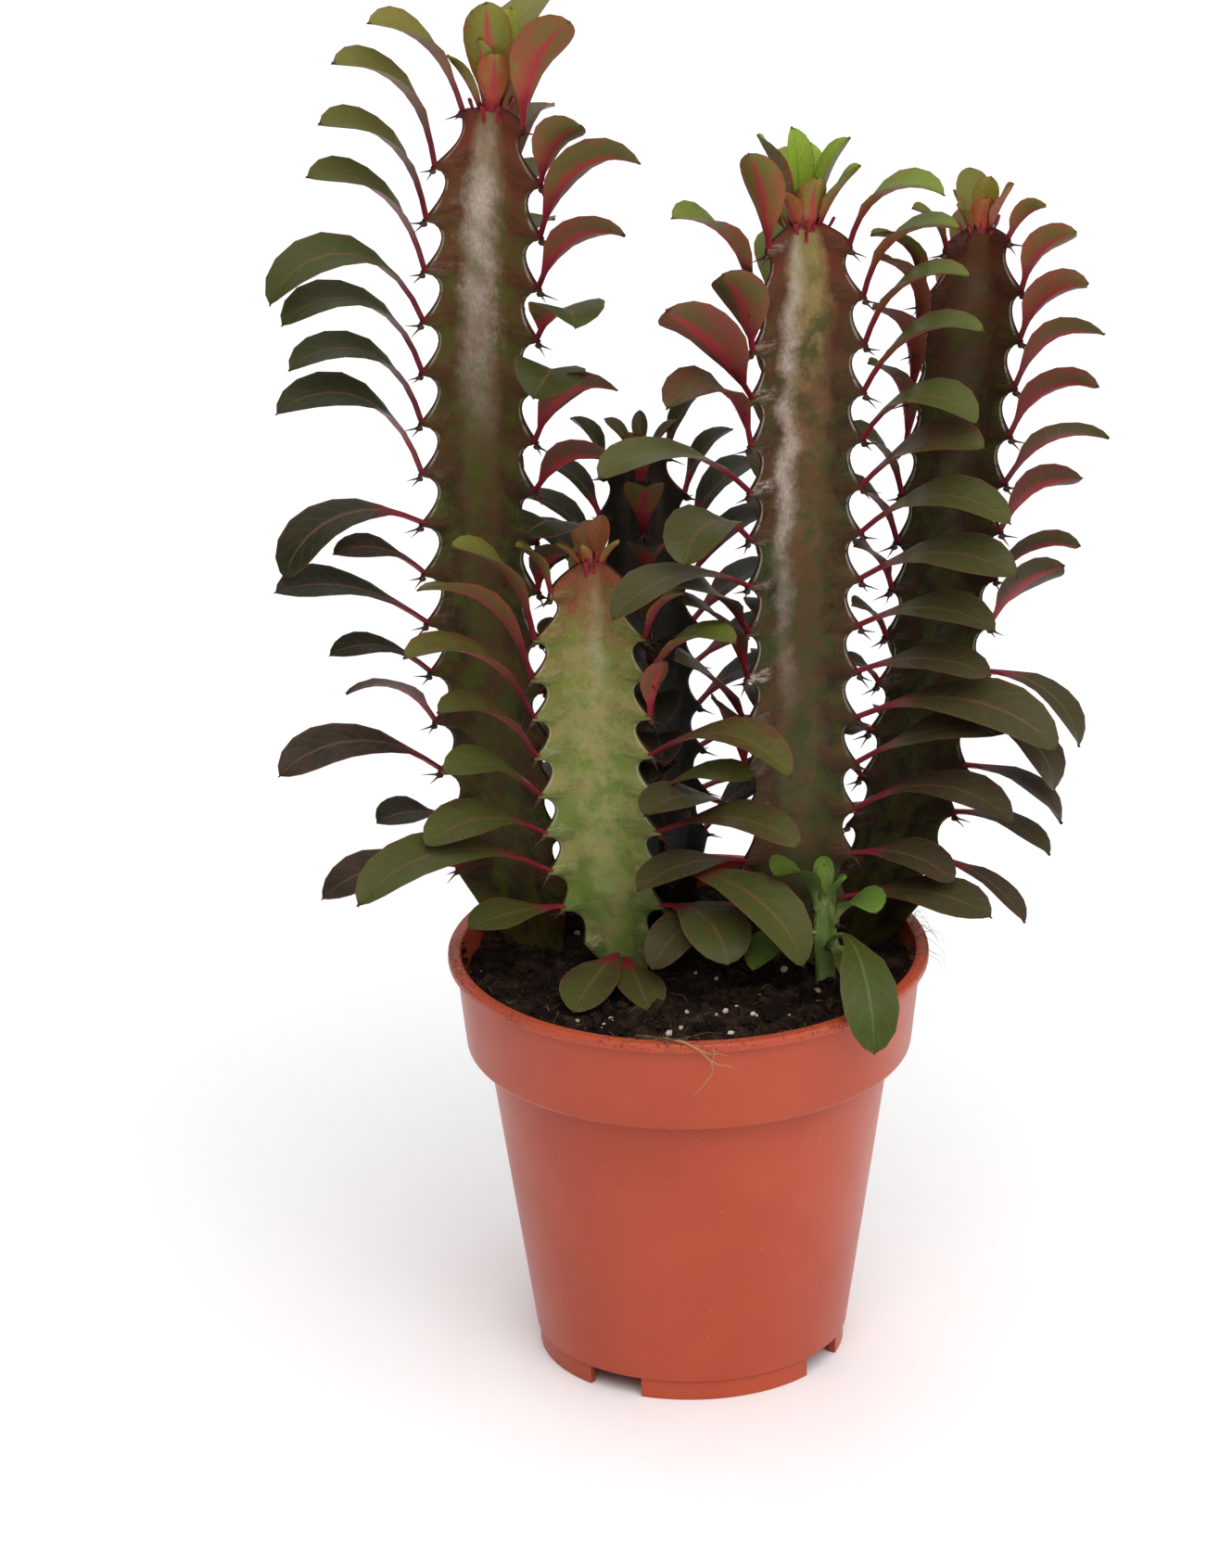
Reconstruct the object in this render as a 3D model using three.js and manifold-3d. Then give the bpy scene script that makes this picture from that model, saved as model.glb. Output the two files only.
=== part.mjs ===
// A potted euphorbia: five three-ribbed leafy stems and a small basal shoot, in soil, in a plastic
// nursery pot. Millimetres, +Z up, origin on the ground at the centre of the pot's base. The plant's
// front looks along -Y.

import * as THREE from 'three';
import { mergeVertices } from 'three/addons/utils/BufferGeometryUtils.js';
import Module from 'manifold-3d';

const wasm = await Module();
wasm.setup();

const RAD = Math.PI / 180;
const GAP = 0.3;                    // running gap between pieces that touch

// Pot: a standard 12 cm nursery pot
const POT = {
  sides: 40,
  height: 107,
  wall: 1.3,
  lipRadius: 60,
  lipHeight: 2.4,
  lipOverhang: 2,
  collarFootZ: 82,
  collarFootRadius: 55.5,
  bodyTopRadius: 50.5,
  bodyFootRadius: 39.2,
  ringRadius: 38.4,
  ringWall: 2,
  ringHeight: 5.4,
  floor: 1.4,
  notchCount: 4,
  notchTurn: -31,                   // degrees from the front to the first notch
  notchSpan: 22,                    // degrees of ring that a notch takes out
  drainCount: 6,
  drainRadius: 3.2,
  drainCircle: 24,
};

const SOIL = { top: 99.4, bump: 0.7, sides: 24, rings: [18, 38], rootDepth: 15 };

// Stem section: three ribs, each with a thin toothed crest, and a shallow hollow between two ribs
const RIB_HEADING = [210, 330, 90]; // left, right and back rib, degrees from +X
const FLANK = 0.8;                  // where a rib's flanks end and its thin crest begins, to its reach
const FLANK_HALF = 1.7;             // half the rib's thickness there
const HOLLOW = 0.48;                // hollow's distance from the axis, to a rib's reach
const THIN_RIB = 0.32;              // most that half a rib's thickness is of its reach
const COLLAR_RISE = 2.6;            // straight stem above the soil before the first teeth
const FOOT_RUN = 2.2;               // height over which a stem widens from its foot, to its reach
const TOP_RUN = 1.9;                // height over which it narrows to its growing point, to its reach
const TIP = { drop: 0.4, reach: 0.55 };         // the small top facet, from the apex down
const TOOTH_LEAST = { top: 0.35, foot: 0.4 };   // share of a full tooth at the two ends of a stem

const SPINE = { length: 4.8, root: 0.5, sunk: 3.8, below: 0.8, splay: 34, drop: 12, every: 2 };
const BLADE = {
  stations: [0, 0.25, 0.65, 0.85],
  widths: [0, 0.26, 1, 0.8],
  rootHalf: 0.55,
  petioleHalf: 0.85,
  keel: 0.5,
  rootRise: 0.3,
  fold: 0.12,
  steps: 20,
  sunk: 3.6,                        // from a tooth's tip in to the end of the leaf's root
  aside: 0.12,                      // sets the root off the rib's middle plane
};
const CURVE = 1.4;                  // how late along a blade it turns down
const ROOT = {
  start: 1,                         // from a tooth's tip in to where a leaf begins to curve
  level: 0.7,                       // above the tooth's tip
  below: 1.6,                       // least depth under the apex
  share: 0.42,                      // most that the sunk root is of the rib's reach
};
const CLEARANCE = 0.35;             // kept between a leaf and another stem's node
const LITTLE_BENT = 0.85;           // a leaf shrunk less than this may cross one of its own stem's

// Ways of bending a leaf clear of its neighbours, the mildest first
const BENDS = [];
for (const shrink of [1, 0.85, 0.7, 0.52, 0.35, 0.22]) {
  for (const swing of [0, 14, -14, 28, -28, 44, -44]) {
    for (const lift of [0, 14, -14, 30]) BENDS.push({ shrink, swing, lift });
  }
}

// Stems. foot, low, high and tip are the axis curve's plan points, evenly spaced in height. reach is
// from the axis to a rib's crest between two teeth, tooth how far a tooth stands out of it, phase how
// far each rib's teeth are set down, in pitches, and roll each rib's usual turn of the blades. Each
// leaf of a rib, from the top down, is [length, rise, tip slope, swing, width, roll], in millimetres
// and degrees; a rib's further leaves follow the stem's rule. crown holds the leaves round the
// growing point, as [heading, length, rise, tip slope, width], and base the lowest leaves, as
// [heading, height above the soil, length, rise, tip slope, width].
const STEMS = [
  {
    name: 'stem_front_short', seed: 4,
    foot: [-15.5, 3], low: [-22, 2], high: [-25, 2], tip: [-22.8, 2], apex: 210,
    turn: 0, reach: 12.6, footReach: 6.4, topReach: 6.4, tooth: 5, pitch: 10.3, first: 8,
    phase: [0, 0, 0.5], roll: [-16, 14, 0],
    rule: { length: 34, backLength: 36, youngLength: 14, rise: 40, tip: -35 },
    ribs: [
      [[18, 80, 20, 0, 6.5], [38, 78, 10, 0, 12], [46, 74, -5, 0, 12, 14], [46, 66, -20, 0, 13],
        [34, 62, -15, 0, 13], [30, 50, -20, 0, 13], [35, 35, -40, 0, 16], [58, 35, -48, 0, 18],
        [26, 10, -15, 0, 13]],
      [[10, 70, 10, 0, 4.5], [18, 76, 10, 0, 7], [30, 62, -25, 0, 11], [15, 85, 60, 0, 8, -30],
        [43, 38, -55, 0, 15], [29, 38, -15, 0, 10], [41, 30, -34, 0, 13], [47, 8, -78, 0, 17],
        [28, 10, -60, -48, 17]],
    ],
    crown: [[200, 9, 62, 30, 4], [250, 8, 70, 50, 3.6], [330, 9, 66, 40, 4], [60, 11, 76, 60, 6],
      [130, 9, 70, 40, 4]],
    base: [[246, 6, 27, -14, -40, 14], [284, 5, 24, -20, -30, 12]],
  },
  {
    name: 'stem_middle_tall', seed: 2,
    foot: [26, 10], low: [27.5, 10], high: [28.6, 10], tip: [30, 10], apex: 293.5,
    turn: 8, reach: 12.8, footReach: 9, topReach: 9.4, tooth: 4.2, pitch: 12.2, first: 5.6,
    phase: [0, 0, 0.5], roll: [-14, 18, 0],
    rule: { length: 36, backLength: 34, youngLength: 28, rise: 48, tip: -24 },
    ribs: [
      [[26, 88, 60, 0, 11, 40], [39, 76, 0, 0, 13], [23, 84, 40, 0, 14, 40], [38, 58, 30, 0, 19, 34],
        [37, 80, -50, 0, 15], [52, 46, -28, 0, 15], [30, 50, -80, 25, 17], [45, 45, -30, 0, 14],
        [36, 60, 0, 0, 18], [34, 46, -20, 8, 15], [32, 62, 20, 0, 15], [24, 64, 30, 0, 13]],
      [[33, 74, -34, 0, 11, 0], [35, 76, -22, 0, 11, 0], [37, 72, -20, 0, 11, 0], [39, 64, -20, 0, 12, 0],
        [36, 60, -62, 0, 14], [36, 50, -20, 0, 15], [43, 45, -45, 0, 15], [43, 35, -35, 0, 15],
        [37, 30, -35, 0, 15], [35, 25, -25, 0, 14], [56, 42, -35, 0, 18], [44, 35, -5, 0, 15],
        [45, 35, -50, 0, 15], [27, 15, -45, 0, 14]],
    ],
    crown: [[200, 26, 80, 56, 11], [140, 24, 82, 60, 9], [235, 13, 82, 66, 6], [290, 15, 80, 62, 7],
      [338, 20, 70, 40, 9], [15, 23, 72, 30, 10], [80, 19, 80, 50, 8], [262, 11, 78, 60, 5]],
    base: [[312, 4, 24, -10, -70, 16]],
  },
  {
    name: 'stem_left_tall', seed: 1,
    foot: [-38, 20], low: [-54, 19], high: [-49.5, 17], tip: [-45.2, 16], apex: 322,
    turn: -7, reach: 12, footReach: 8.8, topReach: 7, tooth: 5.2, pitch: 13.2, first: 0.6,
    phase: [0, 0.3, 0.62], roll: [-24, -18, -10],
    rule: { length: 38, backLength: 34, youngLength: 28, rise: 52, tip: -26 },
    ribs: [
      [[36, 88, 16, 0, 13], [42, 82, -5, 0, 13], [42, 80, -10, 0, 13], [44, 76, -10, 0, 13],
        [53, 68, -75, 0, 14], [48, 72, -50, 0, 14], [46, 74, -45, 0, 14], [50, 72, -40, 0, 14],
        [44, 30, -86, 0, 14], [26, 45, -20, 0, 9], [43, 40, -12, 0, 15], [29, 45, -25, 0, 9],
        [28, 60, -30, 0, 17, 30], [47, 40, -45, 0, 14], [19, 25, -25, 0, 12]],
      [[33, 84, 30, 0, 13, -34], [21, 76, 20, 0, 12], [42, 72, -15, 0, 14], [34, 66, -15, 0, 13],
        [26, 62, -40, -50, 18, 12], [25, 58, -64, -110, 18, 10], [33, 66, -12, 0, 15],
        [26, 56, -10, 10, 14], [24, 40, -44, -120, 17, 10], [34, 50, -30, 0, 15]],
      [[37, 72, 0, -44], [36, 70, -8, -46], [38, 68, -12, -44], [36, 66, -12, -48], [38, 60, -20, -44]],
    ],
    crown: [[262, 29, 88, 72, 12], [200, 17, 86, 60, 6], [240, 19, 86, 76, 7], [280, 16, 84, 70, 8],
      [60, 24, 82, 56, 11], [130, 17, 80, 60, 6]],
    base: [],
  },
  {
    name: 'stem_right_tall', seed: 3,
    foot: [42, 16], low: [66.5, 19], high: [64, 22], tip: [73, 22], apex: 288,
    turn: 0, reach: 11.8, footReach: 8.6, topReach: 6.8, tooth: 3.8, pitch: 12.3, first: 3,
    phase: [0.2, 0, 0.5], roll: [-12, -20, 0],
    rule: { length: 33, backLength: 28, youngLength: 20, rise: 50, tip: -24 },
    ribs: [
      [[16, 78, 10, 0, 6], [27, 76, -20, 0, 10, 0], [30, 74, -20, 0, 10, 0], [30, 72, -20, 0, 11, 0],
        [28, 70, -20, 0, 11, 0]],
      [[14, 62, 20, 0, 8], [23, 74, 10, 0, 11], [26, 70, 0, 0, 12], [32, 68, -15, 0, 12],
        [31, 66, -16, 0, 12], [34, 58, -14, 0, 13], [29, 62, 0, 0, 12], [27, 52, -10, 0, 11],
        [28, 60, 16, 0, 13], [34, 8, -88, 0, 12, 20], [30, 4, -96, 0, 14, 24],
        [30, 20, -50, 0, 14, 14], [28, 10, -50, 0, 12, 14], [27, -8, -60, 0, 10, 14]],
    ],
    crown: [[220, 9, 70, 50, 4.5], [285, 10, 82, 60, 6], [335, 14, 72, 54, 7], [60, 12, 80, 60, 7],
      [165, 10, 76, 60, 4]],
    base: [],
  },
  {
    name: 'shoot_basal', seed: 6,
    foot: [34, -5], low: [34.4, -5.4], high: [34, -6], tip: [33.6, -6], apex: 123,
    turn: 0, reach: 3.2, footReach: 2.8, topReach: 1.8, tooth: 0.8, pitch: 7, first: 3,
    phase: [0, 0.5, 0.25], roll: [0, 0, 0],
    rule: { length: 18, backLength: 12, youngLength: 14, rise: 30, tip: -40 },
    ribs: [
      [[19, 50, -50, 8, 13], [21, 10, -50, 20, 12]],
      [[16, 60, -40, -26, 12], [15, 20, -60, -20, 11]],
      [[12, 60, 20, 0], [12, 60, 0, 0]],
    ],
    crown: [[220, 8, 74, 50, 4], [330, 9, 70, 40, 4.5], [90, 8, 76, 50, 4]],
    base: [[300, 10, 22, 16, -84, 11], [283, 9, 60, 44, -100, 14]],
  },
  {
    name: 'stem_rear_short', seed: 5,
    foot: [-5, 38], low: [-7, 38], high: [-9, 38], tip: [-10.5, 38], apex: 226,
    turn: 180, reach: 10.4, footReach: 8, topReach: 6, tooth: 3.4, pitch: 11.4, first: 4,
    phase: [0, 0.5, 0.25], roll: [0, 0, 0],
    rule: { length: 32, backLength: 30, youngLength: 14, rise: 50, tip: -24 },
    ribs: [[], [], []],
    crown: [[150, 10, 60, 20, 4.5], [250, 9, 66, 40, 4], [20, 10, 60, 20, 4.5], [90, 9, 74, 50, 4]],
    base: [],
  },
];
const REAR_LIMIT = 61;              // leaves' midribs at the back end before this, near the pot's lip

const MATERIALS = {
  pot: { color: 0xb5563c, roughness: 0.42, metalness: 0 },
  soil: { color: 0x2c1f17, roughness: 0.95, metalness: 0 },
  leafy: { color: 0x3d3d2a, roughness: 0.5, metalness: 0 },
  young: { color: 0x6d7a3c, roughness: 0.5, metalness: 0 },
};

// Numbers

function draw(seed, a, b, salt) {
  const wave = Math.sin(seed * 12.9898 + a * 78.233 + b * 37.719 + salt * 9.151) * 43758.5453;
  return wave - Math.floor(wave);
}

function spread(seed, a, b, salt, amount) {
  return (2 * draw(seed, a, b, salt) - 1) * amount;
}

function smooth(value) {
  const s = Math.min(1, Math.max(0, value));
  return s * s * (3 - 2 * s);
}

function bearing(degrees) {
  return new THREE.Vector3(Math.cos(degrees * RAD), Math.sin(degrees * RAD), 0);
}

// Solids

function solidFrom(points, triangles) {
  const vertProperties = new Float32Array(points.length * 3);
  points.forEach((p, i) => vertProperties.set([p.x, p.y, p.z], i * 3));
  return new wasm.Manifold(new wasm.Mesh({
    numProp: 3, vertProperties, triVerts: new Uint32Array(triangles.flat()),
  }));
}

function solidOf(geometry) {
  const bare = geometry.index ? geometry.toNonIndexed() : geometry.clone();
  bare.deleteAttribute('normal');
  bare.deleteAttribute('uv');
  const merged = mergeVertices(bare, 1e-4);
  const faces = [];
  const index = merged.index.array;
  for (let i = 0; i < index.length; i += 3) {
    const face = [index[i], index[i + 1], index[i + 2]];
    if (new Set(face).size === 3) faces.push(face);
  }
  return new wasm.Manifold(new wasm.Mesh({
    numProp: 3,
    vertProperties: new Float32Array(merged.attributes.position.array),
    triVerts: new Uint32Array(faces.flat()),
  }));
}

function geometryOf(solid) {
  const mesh = solid.getMesh();
  const geometry = new THREE.BufferGeometry();
  const position = new Float32Array(mesh.vertProperties.length / mesh.numProp * 3);
  for (let i = 0; i < position.length / 3; i++) {
    for (let axis = 0; axis < 3; axis++) {
      position[i * 3 + axis] = mesh.vertProperties[i * mesh.numProp + axis];
    }
  }
  geometry.setAttribute('position', new THREE.BufferAttribute(position, 3));
  geometry.setIndex([...mesh.triVerts]);
  geometry.computeVertexNormals();
  return geometry;
}

function joined(solids) {
  let row = solids;
  while (row.length > 1) {
    const next = [];
    for (let i = 0; i < row.length; i += 2) {
      next.push(i + 1 < row.length ? row[i].add(row[i + 1]) : row[i]);
    }
    row = next;
  }
  return row[0];
}

// Rings of points, each with the same count, become one closed skin; ends close on a centre point
function skin(rings, firstCentre, lastCentre) {
  const count = rings[0].length;
  const points = rings.flat().concat([firstCentre, lastCentre]);
  const first = points.length - 2;
  const last = points.length - 1;
  const faces = [];
  for (let r = 0; r + 1 < rings.length; r++) {
    for (let i = 0; i < count; i++) {
      const j = (i + 1) % count;
      const a = r * count + i;
      const b = r * count + j;
      const c = (r + 1) * count + j;
      const d = (r + 1) * count + i;
      faces.push([a, b, c], [a, c, d]);
    }
  }
  const top = (rings.length - 1) * count;
  for (let i = 0; i < count; i++) {
    const j = (i + 1) % count;
    faces.push([first, j, i], [last, top + i, top + j]);
  }
  return solidFrom(points, faces);
}

// Pot

function potProfile() {
  const p = POT;
  const collarTop = p.height - p.lipHeight;
  const floorTop = p.ringHeight + p.floor;
  const collarTopRadius = p.lipRadius - p.lipOverhang;
  return [
    [0, p.ringHeight], [p.ringRadius - p.ringWall, p.ringHeight], [p.ringRadius - p.ringWall, 0],
    [p.ringRadius, 0], [p.ringRadius, p.ringHeight], [p.bodyFootRadius, p.ringHeight],
    [p.bodyTopRadius, p.collarFootZ], [p.collarFootRadius, p.collarFootZ], [collarTopRadius, collarTop],
    [p.lipRadius, collarTop], [p.lipRadius, p.height], [collarTopRadius - p.wall, p.height],
    [p.collarFootRadius - p.wall, p.collarFootZ + p.wall],
    [p.bodyTopRadius - p.wall, p.collarFootZ + p.wall], [potInside(floorTop), floorTop], [0, floorTop],
  ].map(([x, y]) => new THREE.Vector2(x, y));
}

function upright(geometry) {
  return geometry.rotateX(Math.PI / 2);
}

function buildPot() {
  const p = POT;
  let pot = solidOf(upright(new THREE.LatheGeometry(potProfile(), p.sides)));
  const notchWidth = 2 * p.ringRadius * Math.sin(p.notchSpan / 2 * RAD);
  const cuts = [];
  for (let i = 0; i < p.notchCount; i++) {
    const notch = new THREE.BoxGeometry(notchWidth, 4 * p.ringWall, 2 * p.ringHeight);
    notch.translate(0, -p.ringRadius + p.ringWall / 2, 0);
    notch.rotateZ((p.notchTurn + i * 360 / p.notchCount) * RAD);
    cuts.push(solidOf(notch));
  }
  for (let i = 0; i <= p.drainCount; i++) {
    const drain = upright(new THREE.CylinderGeometry(p.drainRadius, p.drainRadius, 4 * p.floor, 8));
    const spot = bearing(i * 360 / p.drainCount).multiplyScalar(i === p.drainCount ? 0 : p.drainCircle);
    drain.translate(spot.x, spot.y, p.ringHeight + p.floor / 2);
    cuts.push(solidOf(drain));
  }
  for (const cut of cuts) pot = pot.subtract(cut);
  return pot;
}

// Radius of the pot's inner face at a height
function potInside(z) {
  const p = POT;
  const step = p.collarFootZ + p.wall;
  const share = (z - step) / (p.height - step);
  const collar = p.collarFootRadius - p.wall + (p.lipRadius - p.lipOverhang - p.collarFootRadius) * share;
  const slope = (p.bodyTopRadius - p.bodyFootRadius) / (p.collarFootZ - p.ringHeight);
  return z > step ? collar : p.bodyTopRadius - p.wall + slope * (z - step);
}

// Soil

function soilHeight(x, y) {
  const wave = Math.sin(x * 0.21 + 1.3) * Math.cos(y * 0.17) + 0.6 * Math.sin(x * 0.09 - y * 0.31);
  return SOIL.top + SOIL.bump * wave;
}

function buildSoil() {
  const s = SOIL;
  const step = POT.collarFootZ + POT.wall;
  const floorTop = POT.ringHeight + POT.floor + GAP;
  const ring = (radius, level) => Array.from({ length: s.sides }, (_, i) => {
    const point = bearing(i * 360 / s.sides).multiplyScalar(radius);
    point.z = level === null ? soilHeight(point.x, point.y) : level;
    return point;
  });
  const within = (z) => (potInside(z) - GAP) * Math.cos(Math.PI / POT.sides);
  const rings = [
    ring(within(floorTop), floorTop), ring(within(step), step + GAP),
    ring(within(step + 0.01), step + GAP), ring(within(s.top - s.bump), null),
    ...[...s.rings].reverse().map((radius) => ring(radius, null)),
  ];
  const foot = new THREE.Vector3(0, 0, floorTop);
  const crown = new THREE.Vector3(0, 0, soilHeight(0, 0));
  return skin(rings, foot, crown);
}

// Stems

function axisAt(stem, z) {
  const base = SOIL.top;
  const s = Math.min(1.02, Math.max(0, (z - base) / (stem.apex - base)));
  const r = 1 - s;
  const weights = [r * r * r, 3 * s * r * r, 3 * s * s * r, s * s * s];
  const point = new THREE.Vector3(0, 0, z);
  [stem.foot, stem.low, stem.high, stem.tip].forEach(([x, y], i) => {
    point.x += weights[i] * x;
    point.y += weights[i] * y;
  });
  return point;
}

// Distance from the axis to a rib's crest between two teeth
function reachAt(stem, z) {
  const foot = smooth((z - SOIL.top - COLLAR_RISE) / (FOOT_RUN * stem.reach));
  const top = smooth((stem.apex - z) / (TOP_RUN * stem.reach));
  const low = stem.footReach + (stem.reach - stem.footReach) * foot;
  return low - (stem.reach - stem.topReach) * (1 - top);
}

// One rib's crest and flanks and the hollow after it, seen from above, anticlockwise
function ribPoints(stem, rib, heading, axis, hollowAxis, reach, crest, grow = 0) {
  const out = bearing(heading);
  const side = bearing(heading + 90);
  const half = Math.min(FLANK_HALF, reach * THIN_RIB) + grow;
  const flank = axis.clone().addScaledVector(out, reach * FLANK);
  return [
    flank.clone().addScaledVector(side, -half),
    axis.clone().addScaledVector(out, crest + 1.4 * grow),
    flank.clone().addScaledVector(side, half),
    hollowAxis.clone().addScaledVector(bearing(heading + 60), HOLLOW * reach + grow),
  ];
}

function section(stem, level) {
  const heights = RIB_HEADING.map((_, rib) => toothHeight(stem, rib, level / 2));
  return heights.flatMap((z, rib) => {
    const reach = reachAt(stem, z);
    const crest = reach + (level % 2 ? 0 : toothAt(stem, z));
    const hollow = axisAt(stem, (z + heights[(rib + 1) % 3]) / 2);
    return ribPoints(stem, rib, RIB_HEADING[rib] + stem.turn, axisAt(stem, z), hollow, reach, crest);
  });
}

function toothCount(stem, rib) {
  const room = stem.apex - stem.first - stem.phase[rib] * stem.pitch - SOIL.top - COLLAR_RISE;
  return Math.floor(room / stem.pitch - 0.1);
}

function toothHeight(stem, rib, tooth) {
  return stem.apex - stem.first - (tooth + stem.phase[rib]) * stem.pitch;
}

// How far a tooth stands out: less near the growing point and near the soil
function toothAt(stem, z) {
  const { top, foot } = TOOTH_LEAST;
  return stem.tooth * (top + (1 - top) * smooth((stem.apex - z) / stem.reach))
    * (foot + (1 - foot) * smooth((z - SOIL.top) / (2 * stem.reach)));
}

function footSection(stem, z, grow) {
  const axis = new THREE.Vector3(stem.foot[0], stem.foot[1], z);
  return RIB_HEADING.flatMap((heading, rib) => ribPoints(
    stem, rib, heading + stem.turn, axis, axis, stem.footReach, stem.footReach, grow,
  ));
}

function topSection(stem) {
  const axis = axisAt(stem, stem.apex - TIP.drop);
  const reach = stem.topReach * TIP.reach;
  return RIB_HEADING.flatMap((heading, rib) => ribPoints(
    stem, rib, heading + stem.turn, axis, axis, reach, reach,
  ));
}

function rootDepth(stem) {
  return SOIL.rootDepth * Math.min(1, stem.footReach / 8);
}

// The hole that a stem stands in
function buildHole(stem) {
  const bottom = SOIL.top - rootDepth(stem) - GAP;
  const top = SOIL.top + COLLAR_RISE + GAP;
  const [x, y] = stem.foot;
  return skin(
    [footSection(stem, bottom, GAP), footSection(stem, top, GAP)],
    new THREE.Vector3(x, y, bottom), new THREE.Vector3(x, y, top),
  );
}

function buildTrunk(stem) {
  const bottom = SOIL.top - rootDepth(stem);
  const rings = [footSection(stem, bottom, 0), footSection(stem, SOIL.top + COLLAR_RISE, 0)];
  const levels = 2 * Math.min(...RIB_HEADING.map((_, rib) => toothCount(stem, rib)));
  for (let level = levels; level >= 0; level--) rings.push(section(stem, level));
  rings.push(topSection(stem));
  return skin(rings, new THREE.Vector3(stem.foot[0], stem.foot[1], bottom), axisAt(stem, stem.apex));
}

// A spine runs from a root inside the rib to a point off the tooth's tip
function buildSpine(tip, out, side, hand, sunk) {
  const end = tip.clone()
    .addScaledVector(out, SPINE.length * Math.cos(SPINE.splay * RAD) * Math.cos(SPINE.drop * RAD))
    .addScaledVector(side, SPINE.length * Math.sin(SPINE.splay * RAD) * hand);
  end.z -= SPINE.length * Math.sin(SPINE.drop * RAD);
  const base = tip.clone().addScaledVector(out, -sunk);
  const lean = end.clone().sub(base).normalize();
  const across = new THREE.Vector3().crossVectors(lean, new THREE.Vector3(0, 0, 1)).normalize();
  const above = new THREE.Vector3().crossVectors(across, lean);
  const points = [0, 120, 240].map((turn) => base.clone()
    .addScaledVector(across, SPINE.root * Math.cos(turn * RAD))
    .addScaledVector(above, SPINE.root * Math.sin(turn * RAD)));
  points.push(end);
  return solidFrom(points, [[0, 1, 2], [1, 0, 3], [2, 1, 3], [0, 2, 3]]);
}

function buildSpines(stem) {
  const spines = [];
  if (stem.reach < 8) return spines;
  for (let rib = 0; rib < 3; rib++) {
    for (let tooth = 0; tooth < toothCount(stem, rib); tooth++) {
      if ((tooth + rib) % SPINE.every) continue;
      const z = toothHeight(stem, rib, tooth);
      const heading = RIB_HEADING[rib] + stem.turn;
      const out = bearing(heading);
      const crest = reachAt(stem, z) + toothAt(stem, z);
      const tip = axisAt(stem, z - SPINE.below).addScaledVector(out, crest);
      const sunk = Math.min(SPINE.sunk, ROOT.share * crest);
      for (const hand of [-1, 1]) spines.push(buildSpine(tip, out, bearing(heading + 90), hand, sunk));
    }
  }
  return spines;
}

// Leaves

function usualWidth(length) {
  return Math.min(0.46 * length, 7.5 + 0.17 * length);
}

function ribLeaf(stem, rib, tooth) {
  const count = toothCount(stem, rib);
  const z = toothHeight(stem, rib, tooth);
  const heading = RIB_HEADING[rib] + stem.turn;
  const { rule, seed } = stem;
  const age = smooth((tooth + 0.5) / 4);
  const low = tooth / Math.max(1, count - 1);
  const grown = rib === 2 ? rule.backLength : rule.length;
  const byRule = [
    (rule.youngLength + (grown - rule.youngLength) * age) * (1 + spread(seed, rib, tooth, 1, 0.12)),
    74 + (rule.rise - 74) * age - 26 * low * low + spread(seed, rib, tooth, 2, 8),
    30 + (rule.tip - 30) * age - 16 * low + spread(seed, rib, tooth, 3, 12),
    spread(seed, rib, tooth, 4, 16),
  ];
  const [length, rise, tip, swing, width, roll] = (stem.ribs[rib] || [])[tooth] || byRule;
  const crest = reachAt(stem, z) + toothAt(stem, z);
  const out = bearing(heading);
  const start = axisAt(stem, z + ROOT.level).addScaledVector(out, crest - ROOT.start);
  const level = Math.min(z + ROOT.level, stem.apex - ROOT.below);
  const sunk = Math.min(BLADE.sunk, ROOT.share * crest);
  const root = axisAt(stem, level).addScaledVector(out, crest - sunk)
    .addScaledVector(bearing(heading + 90), BLADE.aside);
  return {
    start, root, heading, length: length + ROOT.start, rise, tip, swing,
    width: width ?? usualWidth(length) * (1 + spread(seed, rib, tooth, 5, 0.1)),
    roll: (roll ?? stem.roll[rib]) + spread(seed, rib, tooth, 6, 9),
  };
}

function crownLeaf(stem, index) {
  const [heading, length, rise, tip, width] = stem.crown[index];
  const root = axisAt(stem, stem.apex - 2.6).addScaledVector(bearing(heading), stem.topReach * 0.3);
  const roll = spread(stem.seed, 9, index, 6, 14);
  return { start: root, root, heading, length: length + 2, rise, tip, swing: 0, width, roll };
}

function baseLeaf(stem, index) {
  const [heading, height, length, rise, tip, width] = stem.base[index];
  const root = axisAt(stem, SOIL.top + height).addScaledVector(bearing(heading), stem.footReach * 0.3);
  const roll = spread(stem.seed, 8, index, 6, 14);
  return { start: root, root, heading, length: length + 2, rise, tip, swing: 0, width, roll };
}

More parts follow.
